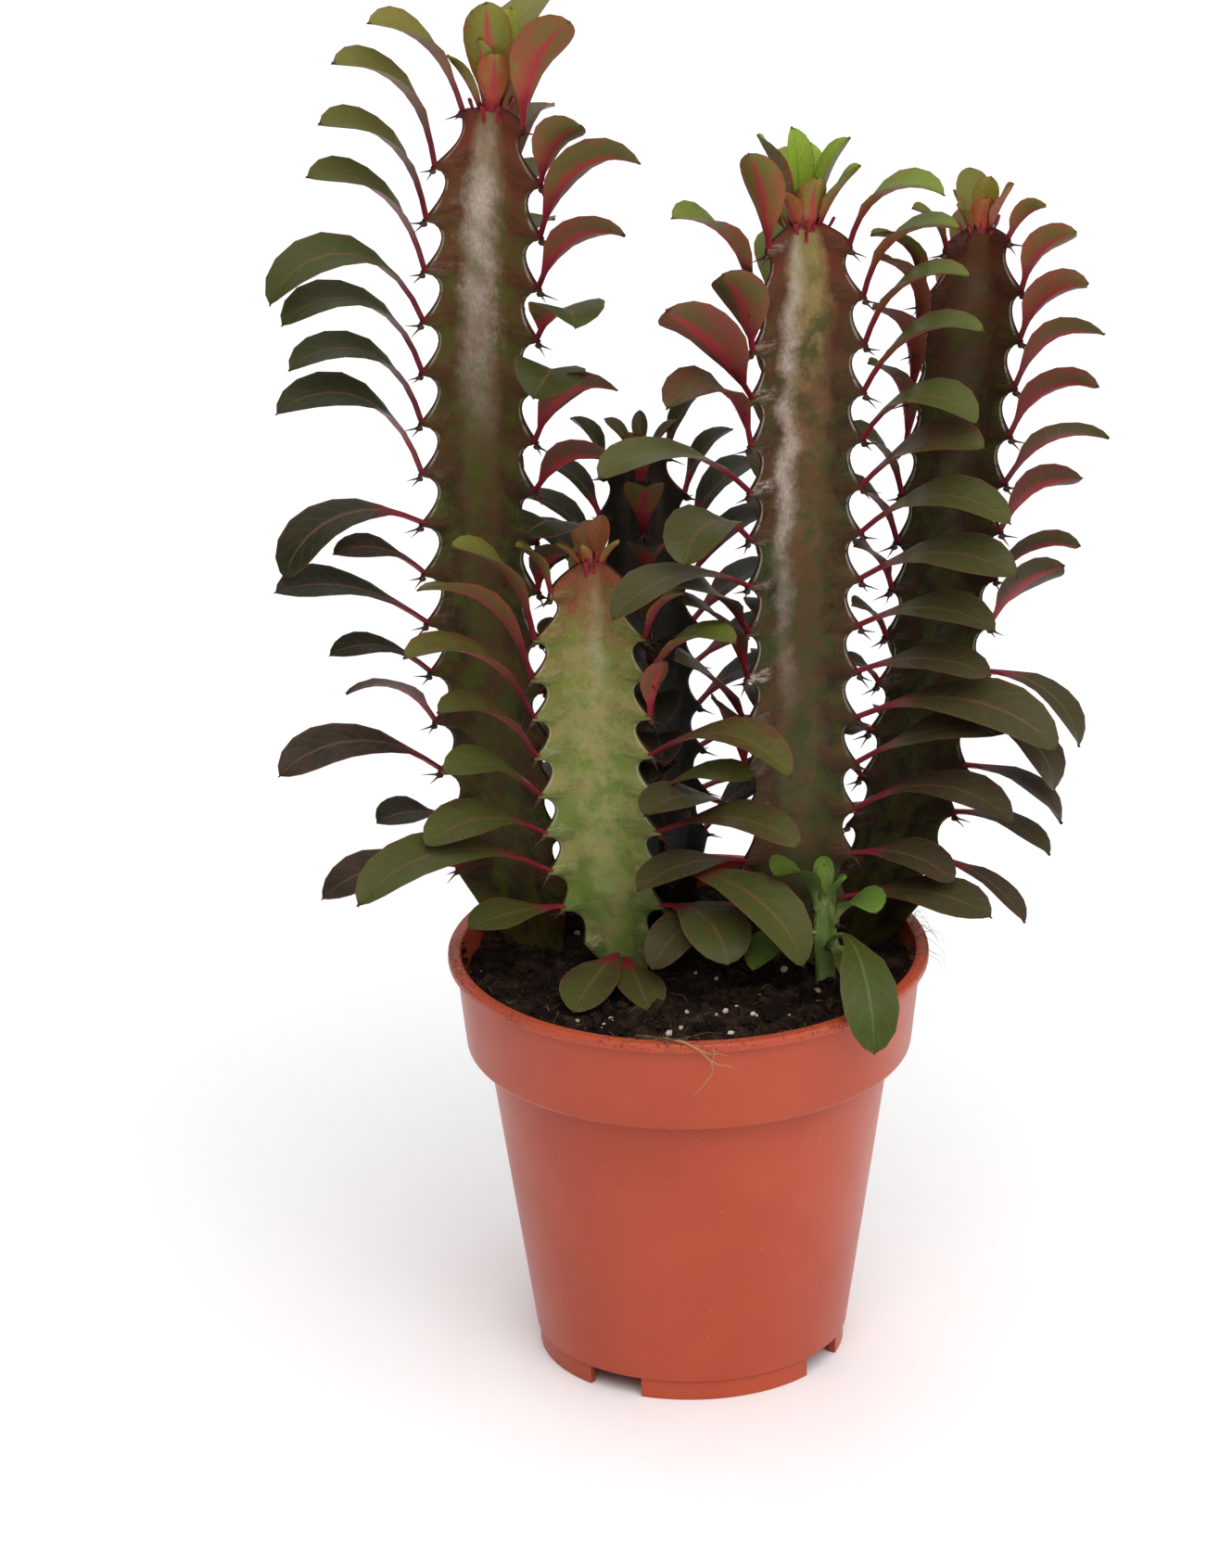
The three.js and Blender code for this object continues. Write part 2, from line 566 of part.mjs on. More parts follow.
// Points of a blade: the spine's frames at the stations, then the tip
function bladeFrames(leaf, bend) {
  const length = leaf.length * bend.shrink;
  const frames = [];
  const place = leaf.start.clone();
  const wanted = [...BLADE.stations, 1];
  let next = 0;
  for (let step = 0; step <= BLADE.steps; step++) {
    const u = step / BLADE.steps;
    const slope = (leaf.rise + bend.lift + (leaf.tip - leaf.rise) * Math.pow(u, CURVE)) * RAD;
    const heading = leaf.heading + (leaf.swing + bend.swing) * u;
    const out = bearing(heading);
    const along = out.clone().multiplyScalar(Math.cos(slope)).setZ(Math.sin(slope));
    if (next < wanted.length && u >= wanted[next] - 1e-9) {
      const side = bearing(heading + 90);
      const above = new THREE.Vector3().crossVectors(along, side);
      const roll = leaf.roll * u * RAD;
      frames.push({
        place: place.clone(),
        across: side.clone().multiplyScalar(Math.cos(roll)).addScaledVector(above, Math.sin(roll)),
        above: above.clone().multiplyScalar(Math.cos(roll)).addScaledVector(side, -Math.sin(roll)),
      });
      next += 1;
    }
    place.addScaledVector(along, length / BLADE.steps);
  }
  frames[0].place.copy(leaf.root);
  return frames;
}

// A blade is a run of three-sided sections, each with two edges and a keel under the midrib
function buildBlade(leaf, bend, grow) {
  const frames = bladeFrames(leaf, bend);
  const points = [];
  const half = leaf.width * Math.sqrt(bend.shrink) / 2;
  BLADE.stations.forEach((_, i) => {
    const { place, across, above } = frames[i];
    const least = i ? BLADE.petioleHalf : BLADE.rootHalf;
    const wide = Math.max(least, half * BLADE.widths[i]) + grow;
    const rise = Math.max(i ? BLADE.keel : BLADE.rootRise, BLADE.fold * wide) + grow / 2;
    points.push(
      place.clone().addScaledVector(across, -wide).addScaledVector(above, rise),
      place.clone().addScaledVector(above, -BLADE.keel - grow),
      place.clone().addScaledVector(across, wide).addScaledVector(above, rise),
    );
  });
  const tip = frames[frames.length - 1];
  const before = frames[frames.length - 2];
  const ahead = tip.place.clone().sub(before.place).normalize();
  points.push(tip.place.clone().addScaledVector(ahead, grow));
  const faces = [[0, 2, 1]];
  const rows = BLADE.stations.length;
  for (let r = 0; r + 1 < rows; r++) {
    const a = r * 3;
    const b = a + 3;
    faces.push(
      [a, a + 1, b + 1], [a, b + 1, b], [a + 2, b + 1, a + 1], [a + 2, b + 2, b + 1],
      [a + 2, a, b], [a + 2, b, b + 2],
    );
  }
  const end = (rows - 1) * 3;
  const last = points.length - 1;
  for (let i = 0; i < 3; i++) faces.push([end + i, end + (i + 1) % 3, last]);
  return solidFrom(points, faces);
}

// Assembly

function boxesMeet(a, b) {
  return a.min.every((low, i) => low <= b.max[i] && a.max[i] >= b.min[i]);
}

function crosses(solid, other) {
  if (!boxesMeet(solid.boundingBox(), other.boundingBox())) return false;
  return solid.intersect(other).numTri() > 0;
}

function placeLeaf(leaf, obstacles, kin) {
  let spare = null;
  for (const bend of BENDS) {
    const frames = bladeFrames(leaf, bend);
    if (frames.some(({ place }) => place.y > REAR_LIMIT)) continue;
    const wide = buildBlade(leaf, bend, CLEARANCE);
    if (obstacles.some((other) => crosses(wide, other))) continue;
    const blade = buildBlade(leaf, bend, 0);
    if (bend.shrink >= LITTLE_BENT && kin.some((other) => crosses(blade, other))) {
      spare = spare || blade;
      continue;
    }
    if (bend.shrink < LITTLE_BENT && spare) return spare;
    return blade;
  }
  return spare;
}

function namedMesh(name, solid, look) {
  const mesh = new THREE.Mesh(geometryOf(solid), new THREE.MeshStandardMaterial(look));
  mesh.name = name;
  return mesh;
}

const group = new THREE.Group();
const pot = buildPot();
let soil = buildSoil();
for (const stem of STEMS) soil = soil.subtract(buildHole(stem));

const trunks = STEMS.map((stem) => joined([buildTrunk(stem), ...buildSpines(stem)]));
const finished = [];
STEMS.forEach((stem, index) => {
  const others = [pot, soil, ...trunks.filter((_, i) => i > index), ...finished];
  const kin = [];
  const leaves = stem.crown.map((_, i) => crownLeaf(stem, i));
  leaves.push(...stem.base.map((_, i) => baseLeaf(stem, i)));
  for (let rib = 0; rib < 3; rib++) {
    for (let tooth = 0; tooth < toothCount(stem, rib); tooth++) leaves.push(ribLeaf(stem, rib, tooth));
  }
  for (const leaf of leaves) {
    const blade = placeLeaf(leaf, others, kin);
    if (blade) kin.push(blade);
  }
  finished.push(joined([trunks[index], ...kin]));
});

group.add(namedMesh('pot', pot, MATERIALS.pot));
group.add(namedMesh('soil', soil, MATERIALS.soil));
STEMS.forEach((stem, index) => {
  const look = stem.name === 'stem_front_short' ? MATERIALS.young : MATERIALS.leafy;
  group.add(namedMesh(stem.name, finished[index], look));
});

export default group;
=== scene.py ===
"""A potted euphorbia: three-ribbed leafy stems and a basal shoot, in soil, in a plastic nursery pot.

The classes hold their sizes in millimetres, and a mesh gets metres when it is made. The origin is on
the ground at the centre of the pot's base, +Z is up and the plant's front looks along -Y.
"""

import logging
import math
from collections.abc import Callable, Iterator
from dataclasses import dataclass, field, replace
from enum import Enum
from functools import cache

import bpy
import numpy as np
from bpy.types import Material, Mesh, Node, NodeSocket, NodeTree, Object
from mathutils import Matrix, Vector
from mathutils.bvhtree import BVHTree


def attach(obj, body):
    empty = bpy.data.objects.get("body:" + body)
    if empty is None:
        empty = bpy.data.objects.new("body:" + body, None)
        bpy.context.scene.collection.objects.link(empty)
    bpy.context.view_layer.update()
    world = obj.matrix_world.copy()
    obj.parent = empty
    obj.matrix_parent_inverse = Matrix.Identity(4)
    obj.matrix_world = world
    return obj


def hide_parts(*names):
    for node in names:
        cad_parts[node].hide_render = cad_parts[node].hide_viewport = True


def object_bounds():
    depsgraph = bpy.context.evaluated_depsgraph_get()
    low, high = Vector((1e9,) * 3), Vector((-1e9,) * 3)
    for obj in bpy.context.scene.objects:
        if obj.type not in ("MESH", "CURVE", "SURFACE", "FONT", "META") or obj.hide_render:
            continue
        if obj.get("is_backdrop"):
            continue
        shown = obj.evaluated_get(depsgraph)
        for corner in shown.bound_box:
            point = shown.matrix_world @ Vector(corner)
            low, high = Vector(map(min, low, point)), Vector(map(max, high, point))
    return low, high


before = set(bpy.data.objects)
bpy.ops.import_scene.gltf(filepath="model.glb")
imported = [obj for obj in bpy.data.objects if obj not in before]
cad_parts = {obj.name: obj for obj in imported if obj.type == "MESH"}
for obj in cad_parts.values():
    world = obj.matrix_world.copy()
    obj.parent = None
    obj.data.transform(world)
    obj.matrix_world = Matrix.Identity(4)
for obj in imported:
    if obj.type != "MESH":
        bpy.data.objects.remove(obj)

CAD_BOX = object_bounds()
MM = 0.001
LOG = logging.getLogger("potted_euphorbia")

Point = tuple[float, float]
Place = tuple[float, float, float]
Numbers = tuple[float, ...]
Colour = tuple[float, float, float]
Colours = tuple[Colour, ...]
Array = np.ndarray

BLACK: Colour = (0.0, 0.0, 0.0)


class Finish(Enum):
    """The record's material slots."""

    POT = "pot_plastic"
    SOIL = "potting_soil"
    STEM = "leafy_stem"
    YOUNG = "young_stem"


# Numbers


def draw(seed: float, a: float, b: float, salt: float) -> float:
    """A repeatable draw from 0 to 1."""
    wave = math.sin(seed * 12.9898 + a * 78.233 + b * 37.719 + salt * 9.151) * 43758.5453
    return wave - math.floor(wave)


def spread(seed: float, a: float, b: float, salt: float, amount: float) -> float:
    """A repeatable draw from -amount to amount."""
    return (2 * draw(seed, a, b, salt) - 1) * amount


def smooth(value: float) -> float:
    """An even step from 0 to 1."""
    s = min(1.0, max(0.0, value))
    return s * s * (3 - 2 * s)


def bearing(degrees: float) -> Array:
    """A level unit vector."""
    angle = math.radians(degrees)
    return np.array([math.cos(angle), math.sin(angle), 0.0])


def lumps(x: Array, y: Array, size: float, seed: float) -> Array:
    """Smooth random bumps on a plane.

    Args:
        x: places along X, in millimetres.
        y: places along Y.
        size: how far apart the bumps lie.
        seed: which set of bumps.

    Returns:
        Heights from -1 to 1, one for each place.
    """
    u, v = x / size, y / size
    i, j = np.floor(u), np.floor(v)
    fu, fv = u - i, v - j
    fu, fv = fu * fu * (3 - 2 * fu), fv * fv * (3 - 2 * fv)

    def corner(a: Array, b: Array) -> Array:
        """The draw at a corner of the bumps' grid."""
        wave = np.sin(a * 127.1 + b * 311.7 + seed * 74.7) * 43758.5453
        return wave - np.floor(wave)

    low = corner(i, j) * (1 - fu) + corner(i + 1, j) * fu
    high = corner(i, j + 1) * (1 - fu) + corner(i + 1, j + 1) * fu
    return 2 * (low * (1 - fv) + high * fv) - 1


# Modelling


def start_clean() -> None:
    """Deselects everything, so that an operator acts only on what is added next."""
    bpy.ops.object.select_all(action="DESELECT")


def pick(*pieces: Object) -> None:
    """Selects pieces and makes the first one active.

    Args:
        *pieces: the objects to select.
    """
    start_clean()
    for piece in pieces:
        piece.select_set(True)
    bpy.context.view_layer.objects.active = pieces[0]


def added(operator: Callable[..., object], **settings: object) -> Object:
    """Adds a primitive, a light or a camera, with nothing else selected.

    Args:
        operator: the operator that adds it.
        **settings: the operator's settings.

    Returns:
        The new object.
    """
    start_clean()
    operator(**settings)
    return bpy.context.active_object


def rework(*steps: tuple[Callable[..., object], dict[str, object]]) -> None:
    """Works on the whole active mesh in edit mode.

    Args:
        *steps: each operator with its settings.
    """
    bpy.ops.object.mode_set(mode="EDIT")
    for operator, settings in steps:
        bpy.ops.mesh.select_all(action="SELECT")
        operator(**settings)
    bpy.ops.object.mode_set(mode="OBJECT")


def slice_at(*cuts: tuple[Place, Place]) -> None:
    """Cuts the active mesh's faces along planes, each given by a point and a normal."""
    rework(*((bpy.ops.mesh.bisect, {"plane_co": point, "plane_no": normal}) for point, normal in cuts))


def coordinates(mesh: Mesh) -> Array:
    """A mesh's vertices, one row of X, Y and Z for each."""
    return np.array([vertex.co for vertex in mesh.vertices])


def move_to(mesh: Mesh, points: Array, unit: float = MM) -> None:
    """Places a mesh's vertices, given in millimetres or another unit."""
    mesh.vertices.foreach_set("co", (points * unit).ravel())
    mesh.update()


def note(mesh: Mesh, name: str, values: Array, kind: str = "FLOAT") -> None:
    """Stores a number on each vertex."""
    layer = mesh.attributes.get(name) or mesh.attributes.new(name, kind, "POINT")
    layer.data.foreach_set("value", values)


def noted(mesh: Mesh, name: str) -> Array:
    """Reads a number from each vertex."""
    return np.array([item.value for item in mesh.attributes[name].data])


@dataclass
class Skin:
    """A closed skin made from a flat grid: the grid is rolled up, sewn along its seam and closed."""

    name: str
    points: Array              # rows by columns by 3, where the last column repeats the first
    u: Array                   # texture place of each column
    v: Array                   # texture place of each row

    def build(self) -> Object:
        """Models the skin.

        Returns:
            The closed piece, with its grid place kept on each vertex as column and row.
        """
        rows, columns = self.points.shape[:2]
        grid = bpy.ops.mesh.primitive_grid_add
        piece = added(grid, x_subdivisions=columns - 1, y_subdivisions=rows - 1, size=2)
        mesh = piece.data
        piece.name = mesh.name = self.name
        flat = coordinates(mesh)
        column = np.rint((flat[:, 0] + 1) / 2 * (columns - 1)).astype(np.int32)
        row = np.rint((flat[:, 1] + 1) / 2 * (rows - 1)).astype(np.int32)
        note(mesh, "column", column, "INT")
        note(mesh, "row", row, "INT")
        move_to(mesh, self.points[row, column])
        corners = [loop.vertex_index for loop in mesh.loops]
        places = np.stack([self.u[column[corners]], self.v[row[corners]]], axis=1)
        mesh.uv_layers[0].name = "pattern"
        mesh.uv_layers[0].uv.foreach_set("vector", places.ravel())
        rework(
            (bpy.ops.mesh.remove_doubles, {"threshold": 1e-6}), (bpy.ops.mesh.fill_holes, {"sides": 0}),
            (bpy.ops.mesh.normals_make_consistent, {"inside": False}),
        )
        return piece


def soften(piece: Object, degrees: float) -> None:
    """Shades a piece smooth, with creases where faces meet more sharply than an angle."""
    pick(piece)
    bpy.ops.object.shade_smooth_by_angle(angle=math.radians(degrees))


def settle(piece: Object) -> None:
    """Moves an object's own place and turn into its mesh."""
    pick(piece)
    bpy.ops.object.transform_apply(location=True, rotation=True, scale=True)


def discard(piece: Object) -> None:
    """Removes a helper object with its mesh."""
    bpy.data.meshes.remove(piece.data)


def copies(name: str, model: Object, places: list[Array], notes: dict[str, list[float]]) -> Object:
    """Repeats a modelled shape, each copy with vertices of its own, as one piece.

    Args:
        name: the new piece's name.
        model: the shape, modelled once.
        places: for each copy, a row for each vertex of the model, in millimetres.
        notes: for each attribute, a number for each copy.

    Returns:
        The piece that holds all the copies.
    """
    source = model.data
    count, size = len(places), len(source.vertices)
    corners = np.array([loop.vertex_index for loop in source.loops])
    starts = np.array([face.loop_start for face in source.polygons])
    slots = [face.material_index for face in source.polygons]
    mesh = bpy.data.meshes.new(name)
    mesh.vertices.add(count * size)
    mesh.loops.add(count * len(corners))
    mesh.polygons.add(count * len(starts))
    turns = np.arange(count)[:, None]
    mesh.vertices.foreach_set("co", (np.concatenate(places) * MM).ravel())
    mesh.loops.foreach_set("vertex_index", (corners[None] + turns * size).ravel())
    mesh.polygons.foreach_set("loop_start", (starts[None] + turns * len(corners)).ravel())
    mesh.polygons.foreach_set("material_index", np.tile(slots, count))
    if source.uv_layers:
        pattern = np.empty(len(corners) * 2)
        source.uv_layers[0].uv.foreach_get("vector", pattern)
        layer = mesh.uv_layers.new(name="pattern")
        layer.uv.foreach_set("vector", np.tile(pattern, count))
    for key, values in notes.items():
        note(mesh, key, np.repeat(np.array(values, float), size))
    mesh.update(calc_edges=True)
    mesh.validate()
    piece = bpy.data.objects.new(name, mesh)
    bpy.context.scene.collection.objects.link(piece)
    return piece


def dress(piece: Object, *materials: Material) -> None:
    """Gives a piece its materials, in the order of its faces' slots."""
    for material in materials:
        piece.data.materials.append(material)


def seat(piece: Object, finish: Finish, *nodes: str) -> None:
    """Joins a piece to the part's body and hides the solids that it stands for.

    Args:
        piece: the finished piece.
        finish: the record's slot of its finish; not used.
        *nodes: the names of the solids that it replaces.
    """
    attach(piece, "root")
    if nodes:
        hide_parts(*nodes)
    LOG.info("%s: %d faces", piece.name, len(piece.data.polygons))


# Shader graphs


class Value:
    """A number or a colour in a node tree; the usual signs on it add Math nodes."""

    def __init__(self, graph: "Graph", socket: NodeSocket) -> None:
        """Takes the socket that gives it."""
        self.graph, self.socket = graph, socket

    def __add__(self, other: object) -> "Value":
        """Adds a number."""
        return self.graph.math("ADD", self, other)

    def __sub__(self, other: object) -> "Value":
        """Takes a number away."""
        return self.graph.math("SUBTRACT", self, other)

    def __rsub__(self, other: object) -> "Value":
        """Is taken from a number."""
        return self.graph.math("SUBTRACT", other, self)

    def __mul__(self, other: object) -> "Value":
        """Multiplies by a number."""
        return self.graph.math("MULTIPLY", self, other)

    def __truediv__(self, other: object) -> "Value":
        """Divides by a number."""
        return self.graph.math("DIVIDE", self, other)

    def __abs__(self) -> "Value":
        """Drops the sign."""
        return self.graph.math("ABSOLUTE", self)

    def step(self, low: float, high: float) -> "Value":
        """A soft step, 0 at the low number and 1 at the high one, which may be the smaller of the two."""
        inputs = {"Value": self, "From Min": low, "From Max": high}
        return self.graph.wire("ShaderNodeMapRange", inputs, "Result", interpolation_type="SMOOTHSTEP")


class Graph:
    """A node tree, with short calls for the nodes that the finishes use."""

    def __init__(self, tree: NodeTree) -> None:
        """Takes a material's tree or a group's."""
        self.tree = tree

    def add(self, kind: str, **settings: object) -> Node:
        """Adds a node.

        Args:
            kind: the node's type.
            **settings: the node's own properties.

        Returns:
            The node.
        """
        node = self.tree.nodes.new(kind)
        for key, value in settings.items():
            setattr(node, key, value)
        return node

    def feed(self, socket: NodeSocket, value: object) -> None:
        """Links a socket, or sets it to a constant.

        Args:
            socket: the input.
            value: a value of the tree, a number or a colour.
        """
        if isinstance(value, Value):
            self.tree.links.new(value.socket, socket)
        elif isinstance(value, tuple) and socket.type == "RGBA":
            socket.default_value = (*value, 1.0)
        else:
            socket.default_value = value

    def wire(self, kind: str, inputs: dict[object, object], output: object = 0, **settings: object) -> Value:
        """Adds a node with its inputs.

        Args:
            kind: the node's type.
            inputs: what goes in, by the socket's name or number.
            output: which of its outputs is wanted.
            **settings: the node's own properties.

        Returns:
            What comes out.
        """
        node = self.add(kind, **settings)
        for key, value in inputs.items():
            self.feed(node.inputs[key], value)
        return Value(self, node.outputs[output])

    def math(self, operation: str, *values: object) -> Value:
        """Works out a number."""
        return self.wire("ShaderNodeMath", dict(enumerate(values)), operation=operation)

    def coats(self, colour: object, *coats: tuple[object, object]) -> Value:
        """Lays colours over a colour, one after another.

        Args:
            colour: the ground.
            *coats: the share and the colour of each coat.

        Returns:
            The colour that results.
        """
        for share, coat in coats:
            colour = self.wire("ShaderNodeMix", {0: share, 6: colour, 7: coat}, 2, data_type="RGBA")
        return colour

    def ramp(self, value: Value, places: Numbers, colours: Colours) -> Value:
        """Runs through colours.

        Args:
            value: where on the run, from 0 to 1.
            places: where each colour stands.
            colours: the colours in order.

        Returns:
            The colour there.
        """
        node = self.add("ShaderNodeValToRGB")
        self.feed(node.inputs[0], value)
        elements = node.color_ramp.elements
        while len(elements) < len(colours):
            elements.new(0.5)
        for element, place, colour in zip(elements, places, colours):
            element.position = place
            element.color = (*colour, 1.0)
        return Value(self, node.outputs[0])

    def noise(self, place: Value, scale: float, detail: float = 2.0, rough: float = 0.5) -> Value:
        """Cloudy noise round 0.5, with its finer layers and their strength."""
        inputs = {"Vector": place, "Scale": scale, "Detail": detail, "Roughness": rough}
        return self.wire("ShaderNodeTexNoise", inputs)

    def parts(self, vector: Value) -> list[Value]:
        """Splits a vector into its three numbers."""
        node = self.add("ShaderNodeSeparateXYZ")
        self.feed(node.inputs[0], vector)
        return [Value(self, socket) for socket in node.outputs]

    def pattern(self) -> list[Value]:
        """The place on the piece's own unrolled pattern."""
        return self.parts(self.wire("ShaderNodeUVMap", {}, uv_map="pattern"))

    def note(self, name: str) -> Value:
        """Reads a number kept on the mesh."""
        return self.wire("ShaderNodeAttribute", {}, "Fac", attribute_name=name)

    def place(self) -> Value:
        """The place in the object's own frame, in metres."""
        return self.wire("ShaderNodeTexCoord", {}, "Object")

    def bump(self, height: Value, strength: float, distance: float) -> Value:
        """A normal from a height of 0 to 1, where 1 stands a distance in metres high."""
        return self.wire("ShaderNodeBump", {"Strength": strength, "Distance": distance, "Height": height})


class Paint(Graph):
    """A material under construction: a graph with one Principled shader."""

    def __init__(self, name: str) -> None:
        """Starts a material of a name."""
        self.material = bpy.data.materials.new(name)
        self.material.use_nodes = True
        super().__init__(self.material.node_tree)
        self.shader = next(n for n in self.tree.nodes if n.type == "BSDF_PRINCIPLED")

    def finish(self, **sockets: object) -> Material:
        """Sets the shader's sockets.

        Args:
            **sockets: values by the socket's name, with _ for a space.

        Returns:
            The material.
        """
        for key, value in sockets.items():
            self.feed(self.shader.inputs[key.replace("_", " ")], value)
        return self.material

    def group(self, tree: NodeTree, **inputs: object) -> dict[str, Value]:
        """Places a shared effect.

        Args:
            tree: the node group.
            **inputs: values by the socket's name.

        Returns:
            What the group gives, by name.
        """
        node = self.add("ShaderNodeGroup", node_tree=tree)
        for key, value in inputs.items():
            self.feed(node.inputs[key], value)
        return {socket.name: Value(self, socket) for socket in node.outputs}


class Effect(Graph):
    """A shared node group under construction, which takes numbers and gives masks."""

    def __init__(self, name: str, *inputs: str) -> None:
        """Starts a group.

        Args:
            name: its name.
            *inputs: the names of the numbers that it takes.
        """
        super().__init__(bpy.data.node_groups.new(name, "ShaderNodeTree"))
        for title in inputs:
            self.tree.interface.new_socket(title, in_out="INPUT", socket_type="NodeSocketFloat")
        sockets = self.add("NodeGroupInput").outputs
        self.given = {title: Value(self, sockets[title]) for title in inputs}

    def give(self, **masks: Value) -> NodeTree:
        """Ends the group.

        Args:
            **masks: what it gives, by name.

        Returns:
            The finished group.
        """
        for title in masks:
            self.tree.interface.new_socket(title, in_out="OUTPUT", socket_type="NodeSocketFloat")
        sockets = self.add("NodeGroupOutput").inputs
        for title, mask in masks.items():
            self.feed(sockets[title], mask)
        return self.tree


# Shared effects


@cache
def rib_pattern() -> NodeTree:
    """The pattern of a three-ribbed stem: U runs from crest to crest, 1 a face, and V counts teeth.

    Returns:
        A group with masks of the pale streak, the faces' sides, the bands that run in from the teeth,
        scars, patches, blushes, fine grain, the crest and the pale line beside it, partly a corky edge and
        partly a painted highlight.
    """
    graph = Effect("rib_pattern", "centre", "width", "seed")
    along, level, _ = graph.pattern()
    across = graph.math("FRACT", along)
    side = abs(across - 0.5)
    face = graph.math("FLOOR", along) * 3.7 + graph.given["seed"]

    def cloud(wide: float, tall: float, detail: float = 3.0, rough: float = 0.55) -> Value:
        """Noise on the stem's own face."""
        place = graph.wire("ShaderNodeCombineXYZ", {0: across * wide, 1: level * tall, 2: face})
        return graph.noise(place, 1.0, detail, rough)

    off = abs(across + (cloud(0.4, 0.7) - 0.5) * 0.42 - graph.given["centre"])
    gate = off / graph.given["width"] * (cloud(1.1, 1.6) + 0.5) + (cloud(9.0, 4.0, 6.0, 0.75) - 0.5) * 2.6
    breaks = cloud(1.6, 1.0, 4.0).step(0.32, 0.62) * 0.76 + 0.24
    fibres = cloud(44.0, 9.0, 4.0, 0.7).step(0.32, 0.64) * 0.45 + 0.55
    wave = graph.math("COSINE", (level + (0.5 - side) * 0.9 + (cloud(4.0, 1.2) - 0.5) * 0.6) * math.tau)
    scar = wave.step(0.35, 1.0) * side.step(0.34, 0.455) * cloud(22.0, 14.0, 3.0, 0.7).step(0.40, 0.60)
    between = abs(graph.math("FRACT", level) - 0.5).step(0.42, 0.24)
    patchy = cloud(2.0, 3.5).step(0.36, 0.52) * level.step(0.1, 0.4)
    return graph.give(
        Streak=gate.step(1.7, -0.1) * breaks * fibres,
        Side=(side + (cloud(5.0, 1.6, 4.0) - 0.5) * 0.34).step(0.14, 0.36),
        Band=wave.step(-0.1, 0.9) * side.step(0.14, 0.36) * cloud(12.0, 9.0, 4.0, 0.7).step(0.36, 0.58),
        Scar=scar * across.step(0.45, 0.2) * cloud(0.5, 0.5, 2.0).step(0.46, 0.60),
        Patch=cloud(3.2, 1.5, 8.0, 0.7).step(0.41, 0.60),
        Blush=cloud(2.4, 1.0, 8.0, 0.7).step(0.44, 0.61),
        Grain=graph.noise(graph.place(), 2100.0, 3.0, 0.7).step(0.33, 0.67),
        Crest=side.step(0.489, 0.496),
        # The margin: a pale line between the teeth beside the crest, partly a corky edge and partly a painted
        # highlight.
        Margin=abs(side - 0.482).step(0.0085, 0.003) * between * patchy,
    )


@cache
def blade_pattern() -> NodeTree:
    """The pattern of a leaf: U runs across it and V from its root to its tip.

    Returns:
        A group with masks of the midrib, the veins, the margin, the petiole, the clouding, the edge, fine
        grain and the tip.
    """
    graph = Effect("blade_pattern", "width", "reach")
    around, along, _ = graph.pattern()
    across = abs(around * 2.0 - 1.0)
    cloud = graph.noise(graph.place(), 150.0, 4.0, 0.6)
    taper = graph.math("MAXIMUM", graph.given["reach"] - along + cloud * 0.1, 0.004)
    rib = (across / (graph.given["width"] * taper) + (cloud - 0.5) * 1.2).step(3.0, 0.0)
    lines = graph.math("SINE", (along - across * 0.16) * 62.0 + cloud * 9.0)
    return graph.give(
        Midrib=rib * rib,
        Veins=lines.step(0.55, 1.0),
        Margin=across.step(0.88, 0.99),
        Petiole=(along + (cloud - 0.5) * 0.12).step(0.36, 0.16),
        Cloud=cloud.step(0.34, 0.66),
        Edge=across * across + (1.0 - along),
        Grain=graph.noise(graph.place(), 1300.0, 3.0, 0.7).step(0.35, 0.68),
        Tip=along.step(0.965, 0.99),
    )


@cache
def dust_pattern() -> NodeTree:
    """Specks and smears of soil or dust.

    Returns:
        A group with masks of small specks and of soft smears.
    """
    graph = Effect("dust_pattern", "scale", "amount")
    place = graph.place()
    cells = graph.wire("ShaderNodeTexVoronoi", {"Vector": place, "Scale": graph.given["scale"]}, "Distance")
    near = graph.given["amount"] * graph.noise(place, 60.0) - cells
    smears = graph.noise(place, 34.0, 5.0, 0.62).step(0.5, 0.78)
    return graph.give(Specks=near.step(0.0, 0.05), Smears=smears)


# Pot


@dataclass(frozen=True)
class PotPlastic:
    """Satin terracotta-coloured plastic with a little soil dust."""

    body: Colour = (0.440, 0.074, 0.034)
    deep: Colour = (0.392, 0.062, 0.029)
    dirt: Colour = (0.060, 0.030, 0.018)
    pale: Colour = (0.62, 0.36, 0.27)
    dirt_from: float = 0.1035       # height in metres, as the shader reads it
    dirt_full: float = 0.1068
    roughness: float = 0.31

    def material(self) -> Material:
        """Builds the finish.

        Returns:
            The material.
        """
        paint = Paint("pot_plastic")
        place = paint.place()
        cloud = paint.noise(place, 26.0, 4.0, 0.6).step(0.3, 0.7)
        specks = paint.group(dust_pattern(), scale=420.0, amount=0.17)["Specks"]
        grime = paint.group(dust_pattern(), scale=760.0, amount=0.62)
        smear = grime["Smears"] + grime["Specks"]
        smear *= paint.parts(place)[2].step(self.dirt_from, self.dirt_full)
        dull = cloud * 0.07 + self.roughness + smear * 0.35
        return paint.finish(
            Base_Color=paint.coats(
                self.body, (cloud, self.deep), (specks * 0.35, self.pale), (smear * 0.55, self.dirt),
            ),
            Roughness=dull, Specular_IOR_Level=0.22,
            Normal=paint.bump(paint.noise(place, 1500.0), 0.12, 0.0001),
        )


